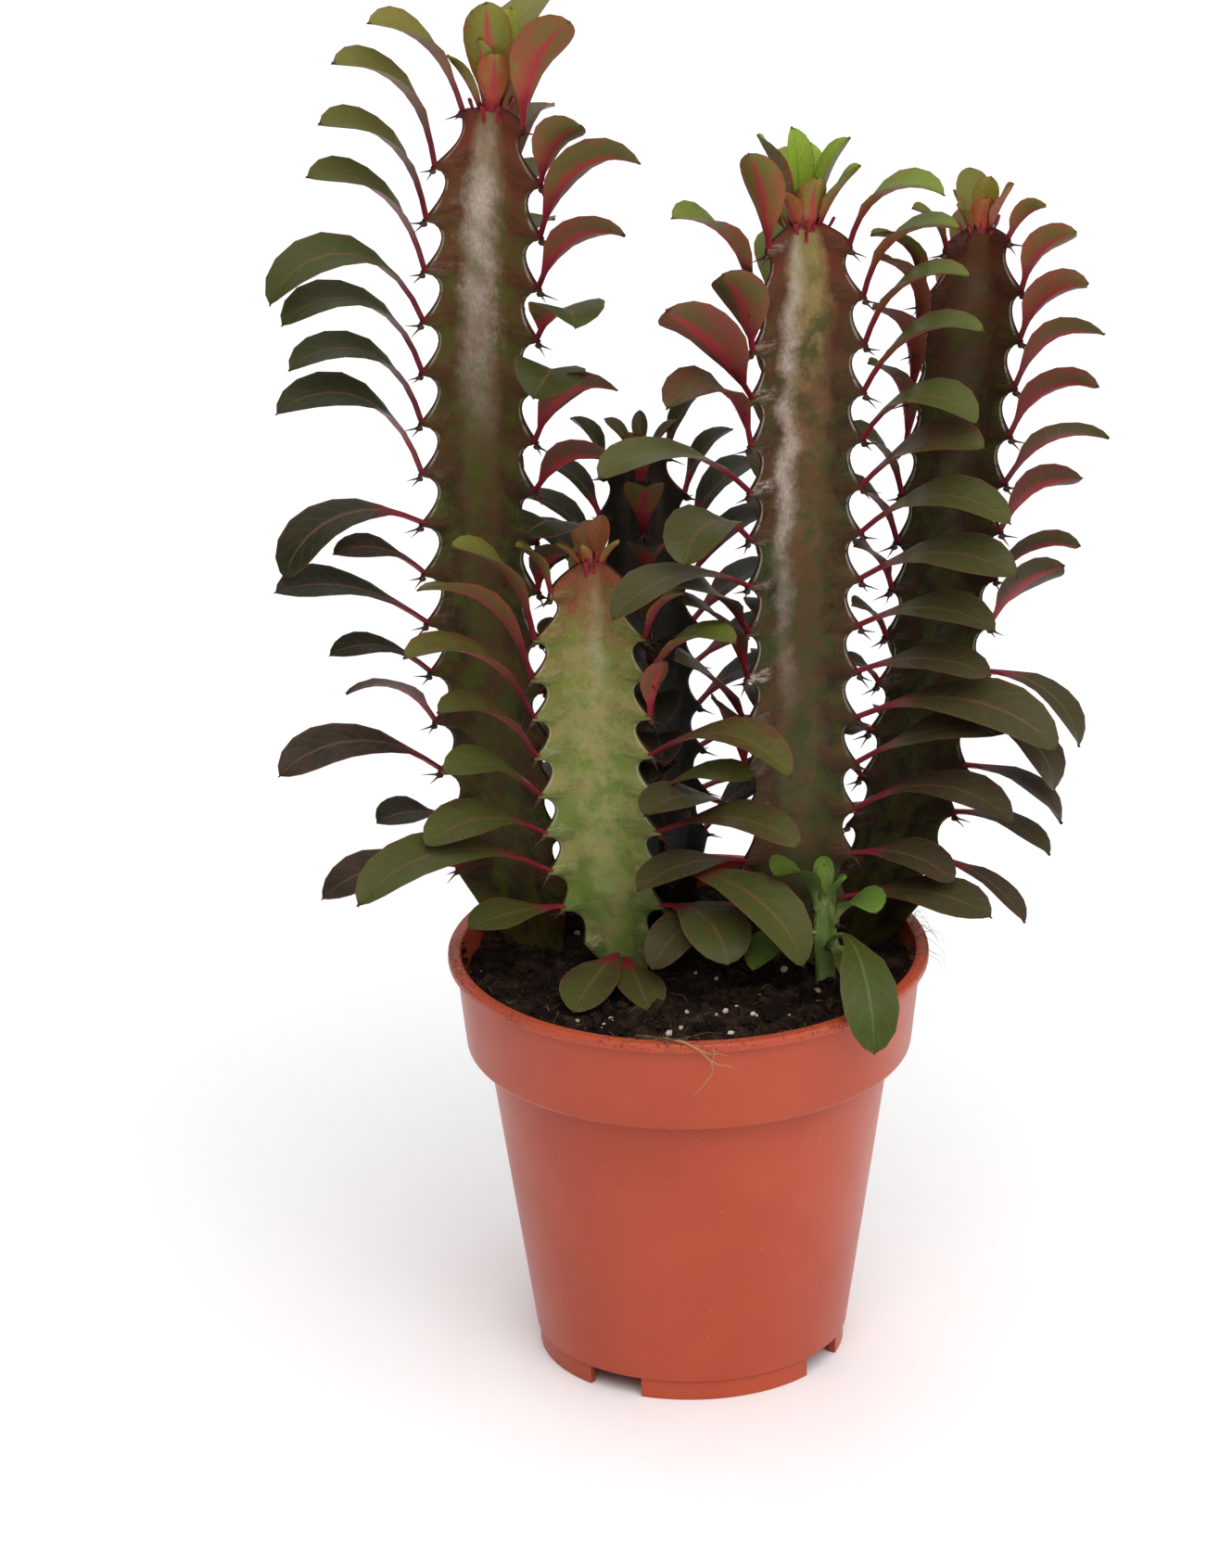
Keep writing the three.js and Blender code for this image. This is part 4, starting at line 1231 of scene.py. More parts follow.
PLANS = (
    StemPlan(
        name="stem_front_short", seed=4, finish=Finish.YOUNG,
        foot=(-15.5, 3), low=(-22, 2), high=(-25, 2), tip=(-22.8, 2), apex=210,
        turn=0, reach=12.6, foot_reach=6.4, top_reach=6.4, tooth=5, pitch=10.3, first=8,
        phase=(0, 0, 0.5), roll=(-16, 14, 0),
        rule=LeafRule(34, 36, 14, 40, -35),
        ribs=(
          ((18, 80, 20, 0, 6.5), (38, 78, 10, 0, 12), (46, 74, -5, 0, 12, 14), (46, 66, -20, 0, 13),
            (34, 62, -15, 0, 13), (30, 50, -20, 0, 13), (35, 35, -40, 0, 16), (58, 35, -48, 0, 18),
            (26, 10, -15, 0, 13)),
          ((10, 70, 10, 0, 4.5), (18, 76, 10, 0, 7), (30, 62, -25, 0, 11), (15, 85, 60, 0, 8, -30),
            (43, 38, -55, 0, 15), (29, 38, -15, 0, 10), (41, 30, -34, 0, 13), (47, 8, -78, 0, 17),
            (28, 10, -60, -48, 17)),
        ),
        crown=((200, 9, 62, 30, 4), (250, 8, 70, 50, 3.6), (330, 9, 66, 40, 4), (60, 11, 76, 60, 6),
          (130, 9, 70, 40, 4)),
        base=((246, 6, 27, -14, -40, 14), (284, 5, 24, -20, -30, 12)),
        crown_tints=(0.7, 0.5, 0.4, 0.7, 0.3),
        rib_tints=((0.2, 0.55, 0.4), (0.7, 0.8, 0.2, 0.8)),
    ),
    StemPlan(
        name="stem_middle_tall", seed=2,
        foot=(26, 10), low=(27.5, 10), high=(28.6, 10), tip=(30, 10), apex=293.5,
        turn=8, reach=12.8, foot_reach=9, top_reach=9.4, tooth=4.2, pitch=12.2, first=5.6,
        phase=(0, 0, 0.5), roll=(-14, 18, 0),
        rule=LeafRule(36, 34, 28, 48, -24),
        ribs=(
          ((26, 88, 60, 0, 11, 40), (39, 76, 0, 0, 13), (23, 84, 40, 0, 14, 40), (38, 58, 30, 0, 19, 34),
            (37, 80, -50, 0, 15), (52, 46, -28, 0, 15), (30, 50, -80, 25, 17), (45, 45, -30, 0, 14),
            (36, 60, 0, 0, 18), (34, 46, -20, 8, 15), (32, 62, 20, 0, 15), (24, 64, 30, 0, 13)),
          ((33, 74, -34, 0, 11, 0), (35, 76, -22, 0, 11, 0), (37, 72, -20, 0, 11, 0), (39, 64, -20, 0, 12, 0),
            (36, 60, -62, 0, 14), (36, 50, -20, 0, 15), (43, 45, -45, 0, 15), (43, 35, -35, 0, 15),
            (37, 30, -35, 0, 15), (35, 25, -25, 0, 14), (56, 42, -35, 0, 18), (44, 35, -5, 0, 15),
            (45, 35, -50, 0, 15), (27, 15, -45, 0, 14)),
        ),
        crown=((200, 26, 80, 56, 11), (140, 24, 82, 60, 9), (235, 13, 82, 66, 6), (290, 15, 80, 62, 7),
          (338, 20, 70, 40, 9), (15, 23, 72, 30, 10), (80, 19, 80, 50, 8), (262, 11, 78, 60, 5)),
        base=((312, 4, 24, -10, -70, 16),),
        crown_tints=(0.45, 0.1, 0.7, 0.5, 0.1, 0.3, 0.0, 0.05),
        rib_tints=((0.55, 0.45, 0.4, 0.8, 1.1, 0.3), (0.45, 0.35, 0.45, 0.35)),
    ),
    StemPlan(
        name="stem_left_tall", seed=1, twists=(0, -30, 0),
        foot=(-38, 20), low=(-54, 19), high=(-49.5, 17), tip=(-45.2, 16), apex=322,
        turn=-7, reach=12, foot_reach=8.8, top_reach=7, tooth=5.2, pitch=13.2, first=0.6,
        phase=(0, 0.3, 0.62), roll=(-24, -18, -10),
        rule=LeafRule(38, 34, 28, 52, -26),
        ribs=(
          ((36, 88, 16, 0, 13), (42, 82, -5, 0, 13), (42, 80, -10, 0, 13), (44, 76, -10, 0, 13),
            (53, 68, -75, 0, 14), (48, 72, -50, 0, 14), (46, 74, -45, 0, 14), (50, 72, -40, 0, 14),
            (44, 30, -86, 0, 14), (26, 45, -20, 0, 9), (43, 40, -12, 0, 15), (29, 45, -25, 0, 9),
            (28, 60, -30, 0, 17, 30), (47, 40, -45, 0, 14), (19, 25, -25, 0, 12)),
          ((33, 84, 30, 0, 13, -34), (21, 76, 20, 0, 12), (42, 72, -15, 0, 14), (34, 66, -15, 0, 13),
            (26, 62, -40, -50, 18, 12), (25, 58, -64, -110, 18, 10), (33, 66, -12, 0, 15),
            (26, 56, -10, 10, 14), (24, 40, -44, -120, 17, 10), (34, 50, -30, 0, 15)),
          ((37, 72, 0, -44), (36, 70, -8, -46), (38, 68, -12, -44), (36, 66, -12, -48), (38, 60, -20, -44)),
        ),
        crown=((262, 29, 88, 72, 12), (200, 17, 86, 60, 6), (240, 19, 86, 76, 7), (280, 16, 84, 70, 8),
          (60, 24, 82, 56, 11), (130, 17, 80, 60, 6)),
        base=(),
        crown_tints=(0.1, 0.3, 0.0, 1.0, 0.3, 0.6),
        rib_tints=((0.35, 0.3, 0.3, 0.35, 0.2), (0.8, 0.5, 0.25, 0.55, 0.1, 0.1, 0.6)),
    ),
    StemPlan(
        name="stem_right_tall", seed=3, twists=(0, -30, 0),
        foot=(42, 16), low=(66.5, 19), high=(64, 22), tip=(73, 22), apex=288,
        turn=0, reach=11.8, foot_reach=8.6, top_reach=6.8, tooth=3.8, pitch=12.3, first=3,
        phase=(0.2, 0, 0.5), roll=(-12, -20, 0),
        rule=LeafRule(33, 28, 20, 50, -24),
        ribs=(
          ((16, 78, 10, 0, 6), (27, 76, -20, 0, 10, 0), (30, 74, -20, 0, 10, 0), (30, 72, -20, 0, 11, 0),
            (28, 70, -20, 0, 11, 0)),
          ((14, 62, 20, 0, 8), (23, 74, 10, 0, 11), (26, 70, 0, 0, 12), (32, 68, -15, 0, 12),
            (31, 66, -16, 0, 12), (34, 58, -14, 0, 13), (29, 62, 0, 0, 12), (27, 52, -10, 0, 11),
            (28, 60, 16, 0, 13), (34, 8, -88, 0, 12, 20), (30, 4, -96, 0, 14, 24),
            (30, 20, -50, 0, 14, 14), (28, 10, -50, 0, 12, 14), (27, -8, -60, 0, 10, 14)),
        ),
        crown=((220, 9, 70, 50, 4.5), (285, 10, 82, 60, 6), (335, 14, 72, 54, 7), (60, 12, 80, 60, 7),
          (165, 10, 76, 60, 4)),
        base=(),
        crown_tints=(0.5, 0.9, 0.8, 0.2, 0.6),
    ),
    StemPlan(
        name="shoot_basal", seed=6, finish=Finish.YOUNG,
        foot=(34, -5), low=(34.4, -5.4), high=(34, -6), tip=(33.6, -6), apex=123,
        turn=0, reach=3.2, foot_reach=2.8, top_reach=1.8, tooth=0.8, pitch=7, first=3,
        phase=(0, 0.5, 0.25), roll=(0, 0, 0),
        rule=LeafRule(18, 12, 14, 30, -40),
        ribs=(
          ((19, 50, -50, 8, 13), (21, 10, -50, 20, 12)),
          ((16, 60, -40, -26, 12),),
          ((12, 60, 20, 0), (12, 60, 0, 0)),
        ),
        crown=((220, 8, 74, 50, 4), (330, 9, 70, 40, 4.5), (90, 8, 76, 50, 4)),
        base=((300, 10, 22, 16, -84, 11), (283, 9, 60, 44, -100, 14)),
    ),
    StemPlan(
        name="stem_rear_short", seed=5,
        foot=(-5, 38), low=(-7, 38), high=(-9, 38), tip=(-10.5, 38), apex=226,
        turn=180, reach=10.4, foot_reach=8, top_reach=6, tooth=3.4, pitch=11.4, first=4,
        phase=(0, 0.5, 0.25), roll=(0, 0, 0),
        rule=LeafRule(32, 30, 14, 50, -24),
        ribs=((), (), ()),
        crown=((150, 10, 60, 20, 4.5), (250, 9, 66, 40, 4), (20, 10, 60, 20, 4.5), (90, 9, 74, 50, 4)),
        base=(),
    ),
)


@dataclass(frozen=True)
class Leaf:
    """Where one leaf starts and how it runs."""

    start: Array
    root: Array
    heading: float
    length: float
    rise: float
    tip: float
    swing: float
    width: float
    roll: float
    age: float
    twist: float
    tint: float
    stalk: float = 0.11


@dataclass(frozen=True)
class Bend:
    """A change that keeps a leaf clear of its neighbours."""

    shrink: float = 1.0
    swing: float = 0.0
    lift: float = 0.0


BENDS = [
    Bend(shrink, swing, lift)
    for shrink in (1, 0.85, 0.7, 0.52, 0.35, 0.22)
    for swing in (0, 14, -14, 28, -28, 44, -44)
    for lift in (0, 14, -14, 30)
]


@dataclass
class StemForm:
    """The measures of a stem: its axis, its ribs' reach and its teeth."""

    plan: StemPlan
    base: float = 99.4
    collar_rise: float = 2.6
    foot_run: float = 2.2
    top_run: float = 1.9
    tip_drop: float = 0.4
    tip_reach: float = 0.55
    least_top: float = 0.35
    least_foot: float = 0.4
    flank: float = 0.8
    flank_half: float = 1.7
    hollow: float = 0.48
    thin_rib: float = 0.32
    root_depth: float = 15.0
    headings: Numbers = (210.0, 330.0, 90.0)

    def axis(self, z: float) -> Array:
        """The axis at a height.

        Args:
            z: the height.

        Returns:
            The point.
        """
        plan = self.plan
        s = min(1.02, max(0.0, (z - self.base) / (plan.apex - self.base)))
        r = 1 - s
        weights = np.array([r * r * r, 3 * s * r * r, 3 * s * s * r, s * s * s])
        return np.array([*(weights @ np.array([plan.foot, plan.low, plan.high, plan.tip])), z])

    def reach(self, z: float) -> float:
        """The distance from the axis to a crest between two teeth.

        Args:
            z: the height.

        Returns:
            The distance.
        """
        plan = self.plan
        foot = smooth((z - self.base - self.collar_rise) / (self.foot_run * plan.reach))
        top = smooth((plan.apex - z) / (self.top_run * plan.reach))
        low = plan.foot_reach + (plan.reach - plan.foot_reach) * foot
        return low - (plan.reach - plan.top_reach) * (1 - top)

    def tooth(self, z: float) -> float:
        """How far a tooth stands out.

        Args:
            z: the height.

        Returns:
            The distance beyond the crest.
        """
        top = self.least_top + (1 - self.least_top) * smooth((self.plan.apex - z) / self.plan.reach)
        foot = self.least_foot + (1 - self.least_foot) * smooth((z - self.base) / (2 * self.plan.reach))
        return self.plan.tooth * top * foot

    def tooth_count(self, rib: int) -> int:
        """How many teeth a rib has."""
        return math.floor((self.tooth_height(rib, 0) - self.base - self.collar_rise) / self.plan.pitch - 0.1)

    def tooth_height(self, rib: int, tooth: float) -> float:
        """The height of a tooth."""
        plan = self.plan
        return plan.apex - plan.first - (tooth + plan.phase[rib]) * plan.pitch

    def heading(self, rib: int) -> float:
        """A rib's heading."""
        return self.headings[rib % 3] + self.plan.turn


@dataclass
class Trunk:
    """A stem's body: three thin ribs with scalloped, toothed crests and hollow faces between them.

    A rib's profile runs from its crest over a shoulder and a waist to its flank, and swells at a tooth.
    """

    form: StemForm
    rows_a_tooth: int = 10
    face_points: int = 7
    cap_rows: int = 6
    foot_rows: int = 8
    crest_half: float = 0.42
    crest_swell: float = 0.9
    crest_share: float = 0.6
    shoulder: float = 0.28
    waist: float = 0.55
    body_share: float = 0.86
    body_swell: float = 0.34
    tooth_lean: float = 0.72
    tooth_point: float = 0.86
    groove: float = 0.028
    groove_least: float = 0.35
    groove_lag: float = 0.85
    tip_share: float = 0.3
    dome: float = 0.8
    root_shares: Numbers = (0.15, 0.5, 1.0)
    full_foot: float = 8.0
    edges: Numbers = (0.0, 0.012, 0.045, 0.105)

    def section(
        self, axes: list[Array], reaches: list[float], crests: list[float], sharp: float,
    ) -> Array:
        """A ring of the trunk.

        Args:
            axes: the axis at the height of each rib.
            reaches: each rib's reach.
            crests: how far each rib's crest stands out.
            sharp: 1 at a tooth, 0 between two.

        Returns:
            Three faces, each with its points from one crest to just before the next.
        """
        form = self.form
        faces = []
        for rib in range(3):
            sides = []
            for at, hand in ((rib, 1), ((rib + 1) % 3, -1)):
                out, side = bearing(form.heading(at)), bearing(form.heading(at) + 90) * hand
                root, rise = reaches[at] * form.flank, crests[at] - reaches[at] * form.flank
                body = min(form.flank_half, reaches[at] * form.thin_rib)
                body *= self.body_share + self.body_swell * sharp
                thin = min(self.crest_half * (1 + self.crest_swell * sharp), self.crest_share * body)
                waist = root + rise * self.waist, self.waist * body + (1 - self.waist) * thin
                profile = (crests[at], 0), (crests[at] - self.shoulder, thin), waist, (root, body)
                sides.append([axes[at] + out * far + side * wide for far, wide in profile])
            here, after = sides
            middle = (axes[rib] + axes[(rib + 1) % 3]) / 2
            reach = (reaches[rib] + reaches[(rib + 1) % 3]) / 2
            hollow = middle + bearing(form.heading(rib) + 60) * form.hollow * reach
            control = 2 * hollow - 0.5 * (here[3] + after[3])
            face = here
            for k in range(1, self.face_points + 1):
                s = k / (self.face_points + 1)
                face.append(here[3] * (1 - s) ** 2 + control * 2 * s * (1 - s) + after[3] * s * s)
            faces.append(face + after[:0:-1])
        return np.array(faces)

    def ring(self, level: float) -> Array:
        """The section at a level, which counts teeth from the top.

        Args:
            level: the level.

        Returns:
            The ring's points.
        """
        form = self.form
        below = (level - math.floor(level)) ** self.tooth_lean
        sharp = 1 - abs(math.sin(math.pi * below)) ** self.tooth_point
        heights = [form.tooth_height(rib, level) for rib in range(3)]
        reaches = [form.reach(z) for z in heights]
        crests = [reach + sharp * form.tooth(z) for reach, z in zip(reaches, heights)]
        faces = self.section([form.axis(z) for z in heights], reaches, crests, sharp)
        across = np.abs(np.linspace(-1, 1, self.face_points + 2)[1:-1])
        depth = (self.groove_least + (1 - self.groove_least) * across) * self.groove * form.plan.reach
        wave = np.cos(math.tau * (level + self.groove_lag * across)) * depth
        for rib in range(3):
            # A face lies between the four points of a rib's profile and the last three of the next one.
            faces[rib, 4:-3] += wave[:, None] * bearing(form.heading(rib) + 60)
        return faces.reshape(-1, 3)

    def plain_ring(self, z: float, axis: Array, reach: float) -> Array:
        """A level section without teeth."""
        here = np.array([axis[0], axis[1], z])
        return self.section([here] * 3, [reach] * 3, [reach] * 3, 0.0).reshape(-1, 3)

    def model(self) -> Object:
        """Models the trunk.

        Returns:
            The closed trunk, with its height share kept on each vertex as rise.
        """
        form, plan = self.form, self.form.plan
        levels = min(form.tooth_count(rib) for rib in range(3))
        tip = plan.apex - form.tip_drop
        top = self.plain_ring(tip, form.axis(tip), plan.top_reach * form.tip_reach)
        first = self.ring(0)
        apex = form.axis(plan.apex)
        rings, marks = [apex + (top - apex) * self.tip_share], [-plan.first / plan.pitch - 0.02]
        for i in range(self.cap_rows):
            s = i / self.cap_rows
            dome = math.sin(0.5 * math.pi * s) ** self.dome
            ring = top * (1 - dome) + first * dome
            ring[:, 2] = top[:, 2] * (1 - s) + first[:, 2] * s
            rings.append(ring)
            marks.append(-plan.first / plan.pitch * (1 - s))
        for i in range(levels * self.rows_a_tooth + 1):
            rings.append(self.ring(i / self.rows_a_tooth))
            marks.append(i / self.rows_a_tooth)
        last = rings[-1]
        collar = form.base + form.collar_rise
        foot = self.plain_ring(collar, form.axis(form.base), plan.foot_reach)
        run = (last[:, 2].mean() - collar) / plan.pitch
        for i in range(1, self.foot_rows + 1):
            s = i / self.foot_rows
            rings.append(last * (1 - s) + foot * s)
            marks.append(levels + run * s)
        depth = form.root_depth * min(1.0, plan.foot_reach / self.full_foot)
        for share in self.root_shares:
            ring = foot.copy()
            ring[:, 2] = collar - (form.collar_rise + depth) * share
            rings.append(ring)
            marks.append(marks[-1] + 0.3)
        points = np.array(rings)[::-1]
        points = np.concatenate([points, points[:, :1]], axis=1)
        inner = self.edges[-1]
        face = np.linspace(inner, 1 - inner, self.face_points + 2)[1:-1]
        across = [*self.edges, *face, *(1 - edge for edge in self.edges[:0:-1])]
        u = np.array([rib + place for rib in range(3) for place in across] + [3.0])
        trunk = Skin("trunk_" + plan.name, points, u, np.array(marks[::-1])).build()
        heights = coordinates(trunk.data)[:, 2] / MM
        note(trunk.data, "rise", np.clip((heights - form.base) / (plan.apex - form.base), 0, 1))
        soften(trunk, 62)
        return trunk


@dataclass
class LeafModel:
    """One leaf, modelled once: a spatula-shaped blade on a stout petiole, with a channel along its middle.

    Its section runs over the upper side from edge to edge, and back along the keel.
    """

    stations: Numbers = (-1, 0.0, 0.12, 0.24, 0.37, 0.49, 0.61, 0.72, 0.82, 0.90, 0.96, 0.99, 1.0)
    across: Numbers = (-1, -0.5, 0, 0.5, 1, 0)
    faces: tuple[int, ...] = (0, 1, 1, 1, 0, -1)
    petiole_half: float = 0.85
    full_petiole: float = 1.2
    root_half: float = 0.6
    blade_end: float = 0.985
    slender: float = 0.64
    peak: float = 0.3339            # the highest value of t * (1 - t) ** slender
    fold: float = 0.12
    keel: float = 0.5
    full_length: float = 12.0
    curve: float = 1.4
    steps: int = 20
    plain_sections: tuple[Point, ...] = ((0.65, 1.0), (0.85, 0.8))
    cups: Numbers = (0.10, 0.20, 0.05)      # on an old leaf, more on a young one, and by chance
    thick: Numbers = (0.45, 0.62, 0.30)     # at the root, in the stalk and in the blade
    channel: float = 0.16
    ridge: float = 0.34
    ripple: float = 0.05

    def build(self) -> Object:
        """Models the leaf flat, at one size.

        Returns:
            The leaf, with its station and its place across kept on each vertex as row and column.
        """
        turns, count = len(self.across), len(self.stations)
        points = np.zeros((count, turns + 1, 3))
        for i, station in enumerate(self.stations):
            wide = 20 if i < count - 1 else 8
            for k in range(turns + 1):
                s, face = self.across[k % turns], self.faces[k % turns]
                points[i, k] = wide * s, 100 * max(station, -0.05), 2.0 * face
        u = (np.array([*self.across, -1]) + 1) / 2
        v = np.clip(np.array(self.stations), 0, 1)
        leaf = Skin("leaf_model", points, u, v).build()
        column, edge = noted(leaf.data, "column"), self.across.index(1)
        for face in leaf.data.polygons:
            own = {int(column[i]) % turns for i in face.vertices}
            face.material_index = 0 if max(own) <= edge else 1
        return leaf

    def half_at(self, u: float, half: float, stalk: float) -> float:
        """Half the blade's width: a petiole, a spatula and a short point.

        Args:
            u: how far along the leaf.
            half: the half width at its widest.
            stalk: the petiole's share of the length.

        Returns:
            The half width there.
        """
        t = min(1.0, max(0.0, (u - stalk) / (self.blade_end - stalk)))
        wide = half * t * (1 - t) ** self.slender / self.peak
        narrow = min(self.full_petiole, 0.24 * half + 0.35) * min(1.0, (1 - u) / 0.35)
        return max((wide ** 3 + narrow ** 3) ** (1 / 3), 0.1)

    def centre_line(self, leaf: Leaf, bend: Bend) -> Array:
        """The midrib's course, with a point for each of the equal steps along it."""
        runs = [self.direction(leaf, bend, step / self.steps)[0] for step in range(self.steps)]
        return leaf.start + np.cumsum([np.zeros(3), *runs], axis=0) * leaf.length * bend.shrink / self.steps

    def direction(self, leaf: Leaf, bend: Bend, u: float) -> tuple[Array, Array, Array]:
        """A leaf's axes at a share of its length.

        Args:
            leaf: the leaf.
            bend: its change.
            u: the share.

        Returns:
            The directions along it, across it and above it.
        """
        slope = math.radians(leaf.rise + bend.lift + (leaf.tip - leaf.rise) * u ** self.curve)
        heading = leaf.heading + (leaf.swing + bend.swing) * u
        along = bearing(heading) * math.cos(slope)
        along[2] = math.sin(slope)
        side = bearing(heading + 90)
        above = np.cross(along, side)
        roll = math.radians(leaf.roll * u)
        cos, sin = math.cos(roll), math.sin(roll)
        return along, side * cos + above * sin, above * cos - side * sin

    def plain_points(self, leaf: Leaf, bend: Bend) -> Array:
        """Points on the plain solid of a leaf, beyond its petiole.

        Args:
            leaf: the leaf.
            bend: its change.

        Returns:
            Edges and keel at the widest place and before the tip, and the tip, in millimetres.
        """
        line = self.centre_line(leaf, bend)
        half = leaf.width * math.sqrt(bend.shrink) / 2
        points = []
        for u, share in self.plain_sections:
            _, across, above = self.direction(leaf, bend, u)
            place = line[round(u * self.steps)]
            wide = max(self.petiole_half, half * share)
            rise = above * max(self.keel, self.fold * wide)
            points += [place - across * wide + rise, place - above * self.keel, place + across * wide + rise]
        points.append(line[-1])
        return np.array(points)

    def place(self, leaf: Leaf, bend: Bend, column: Array, row: Array, seed: float) -> Array:
        """The vertices of one leaf.

        Args:
            leaf: the leaf.
            bend: its change.
            column: each vertex's place around.
            row: each vertex's station.
            seed: a number for the leaf's own unevenness.

        Returns:
            A row for each vertex, in millimetres.
        """
        line = self.centre_line(leaf, bend)
        leaf = replace(leaf, roll=leaf.roll + leaf.twist)
        half = leaf.width * math.sqrt(bend.shrink) / 2
        wave = draw(seed, 1, 0, 1) * math.tau
        old, young, chance = self.cups
        at_root, in_stalk, in_blade = self.thick
        cup = old + young * (1 - leaf.age) + spread(seed, 2, 0, 2, chance)
        knots = np.linspace(0, 1, self.steps + 1)
        sections = []
        for i, station in enumerate(self.stations):
            u = max(0.0, station)
            _, across, above = self.direction(leaf, bend, u)
            middle = leaf.root if i == 0 else np.array([np.interp(u, knots, line[:, k]) for k in range(3)])
            wide = self.root_half if i == 0 else self.half_at(u, half, leaf.stalk)
            blade = smooth((u - 0.16) / 0.3)
            thick = in_stalk * (1 - blade) + in_blade * blade if i else at_root
            thick *= (1 if u < 0.9 else max(0.25, (1 - u) / 0.1)) * min(1.0, leaf.length / self.full_length)
            ring = []
            for s, face in zip(self.across, self.faces):
                lift = cup * wide * abs(s) ** 1.3 * blade + self.fold * 0.5 * wide * abs(s)
                turn = wave + 11 * u + (2.1 if s > 0 else 0)
                lift += self.ripple * half * math.sin(turn) * abs(s) ** 2 * blade
                body = thick * (1 - 0.25 * abs(s)) * face
                if s == 0:
                    body -= (self.channel if face > 0 else self.ridge) * blade + 0.1
                ring.append(middle + across * wide * s + above * (lift + body))
            sections.append(ring)
        return np.array(sections)[row, column % len(self.across)]


def srgb(*shade: float) -> Colour:
    """A colour as seen on a screen, its red, green and blue from 0 to 255, made linear for the shader."""
    return tuple(s / 3294.6 if s <= 10.3 else ((s / 255 + 0.055) / 1.055) ** 2.4 for s in shade)


@dataclass(frozen=True)
class RibSkin:
    """The fleshy skin of a stem: colours up its height, bands, patches, a pale streak and corky crests.

    The tuples of colours run from the foot to the top, one set for the middle of a face and one for its
    sides; their darkening towards the foot is partly the skin's own tone and partly painted shade for the
    shaded lower part of the plant.
    """

    name: str
    middle: Colours
    sides: Colours
    band: Colour
    patch: Colour
    blush: Colour
    streak: Colour = srgb(196, 180, 166)
    streak_share: float = 0.8
    streak_foot: float = 0.35
    streak_head: float = 0.97
    streak_centre: float = 0.5
    streak_width: float = 0.20
    crest: Colour = srgb(62, 30, 26)
    # The pale line beside the crest: partly corky skin, partly a painted highlight.
    margin: Colour = srgb(176, 164, 156)
    margin_share: float = 0.5
    band_share: float = 0.75
    scar_share: float = 0.12
    patch_share: float = 0.85
    blush_share: float = 0.6
    dark_share: float = 0.14
    light_share: float = 0.1
    roughness: float = 0.5
    streak_roughness: float = 0.2
    gloss: float = 0.1

    def material(self, seed: float) -> Material:
        """Builds the finish.

        Args:
            seed: a number for the pattern's own places.

        Returns:
            The material.
        """
        paint = Paint(self.name)
        rib = paint.group(
            rib_pattern(), centre=self.streak_centre, width=self.streak_width, seed=float(seed),
        )
        height = paint.note("rise") + (paint.noise(paint.place(), 60.0, 3.0) - 0.5) * 0.16
        calm = height.step(1.02, 0.84)
        places = (0.0, 0.25, 0.5, 0.75, 0.94)
        zone = height.step(self.streak_foot - 0.14, self.streak_foot + 0.10)
        share = rib["Streak"] * zone * height.step(self.streak_head + 0.04, self.streak_head - 0.06)
        # The ramps up the height paint the stem darker towards its foot: partly its own colour, partly
        # painted shade.
        colour = paint.coats(
            paint.ramp(height, places, self.middle),
            (rib["Side"], paint.ramp(height, places, self.sides)),
            (rib["Patch"] * calm * self.patch_share, self.patch),
            (rib["Blush"] * calm * self.blush_share, self.blush),
            (rib["Band"] * self.band_share, self.band),
            (rib["Scar"] * self.scar_share, self.streak),
            (share * self.streak_share, self.streak),
            (rib["Grain"] * self.dark_share, BLACK),
            ((1.0 - rib["Grain"]) * self.light_share, self.blush),
            (rib["Crest"], self.crest),
            (rib["Margin"] * height.step(0.2, 0.45) * self.margin_share, self.margin),
        )
        return paint.finish(
            Base_Color=colour, Roughness=share * self.streak_roughness + self.roughness,
            Specular_IOR_Level=self.gloss,
            Normal=paint.bump((rib["Grain"] + rib["Band"]) * 0.5, 0.5, 0.0004),
        )


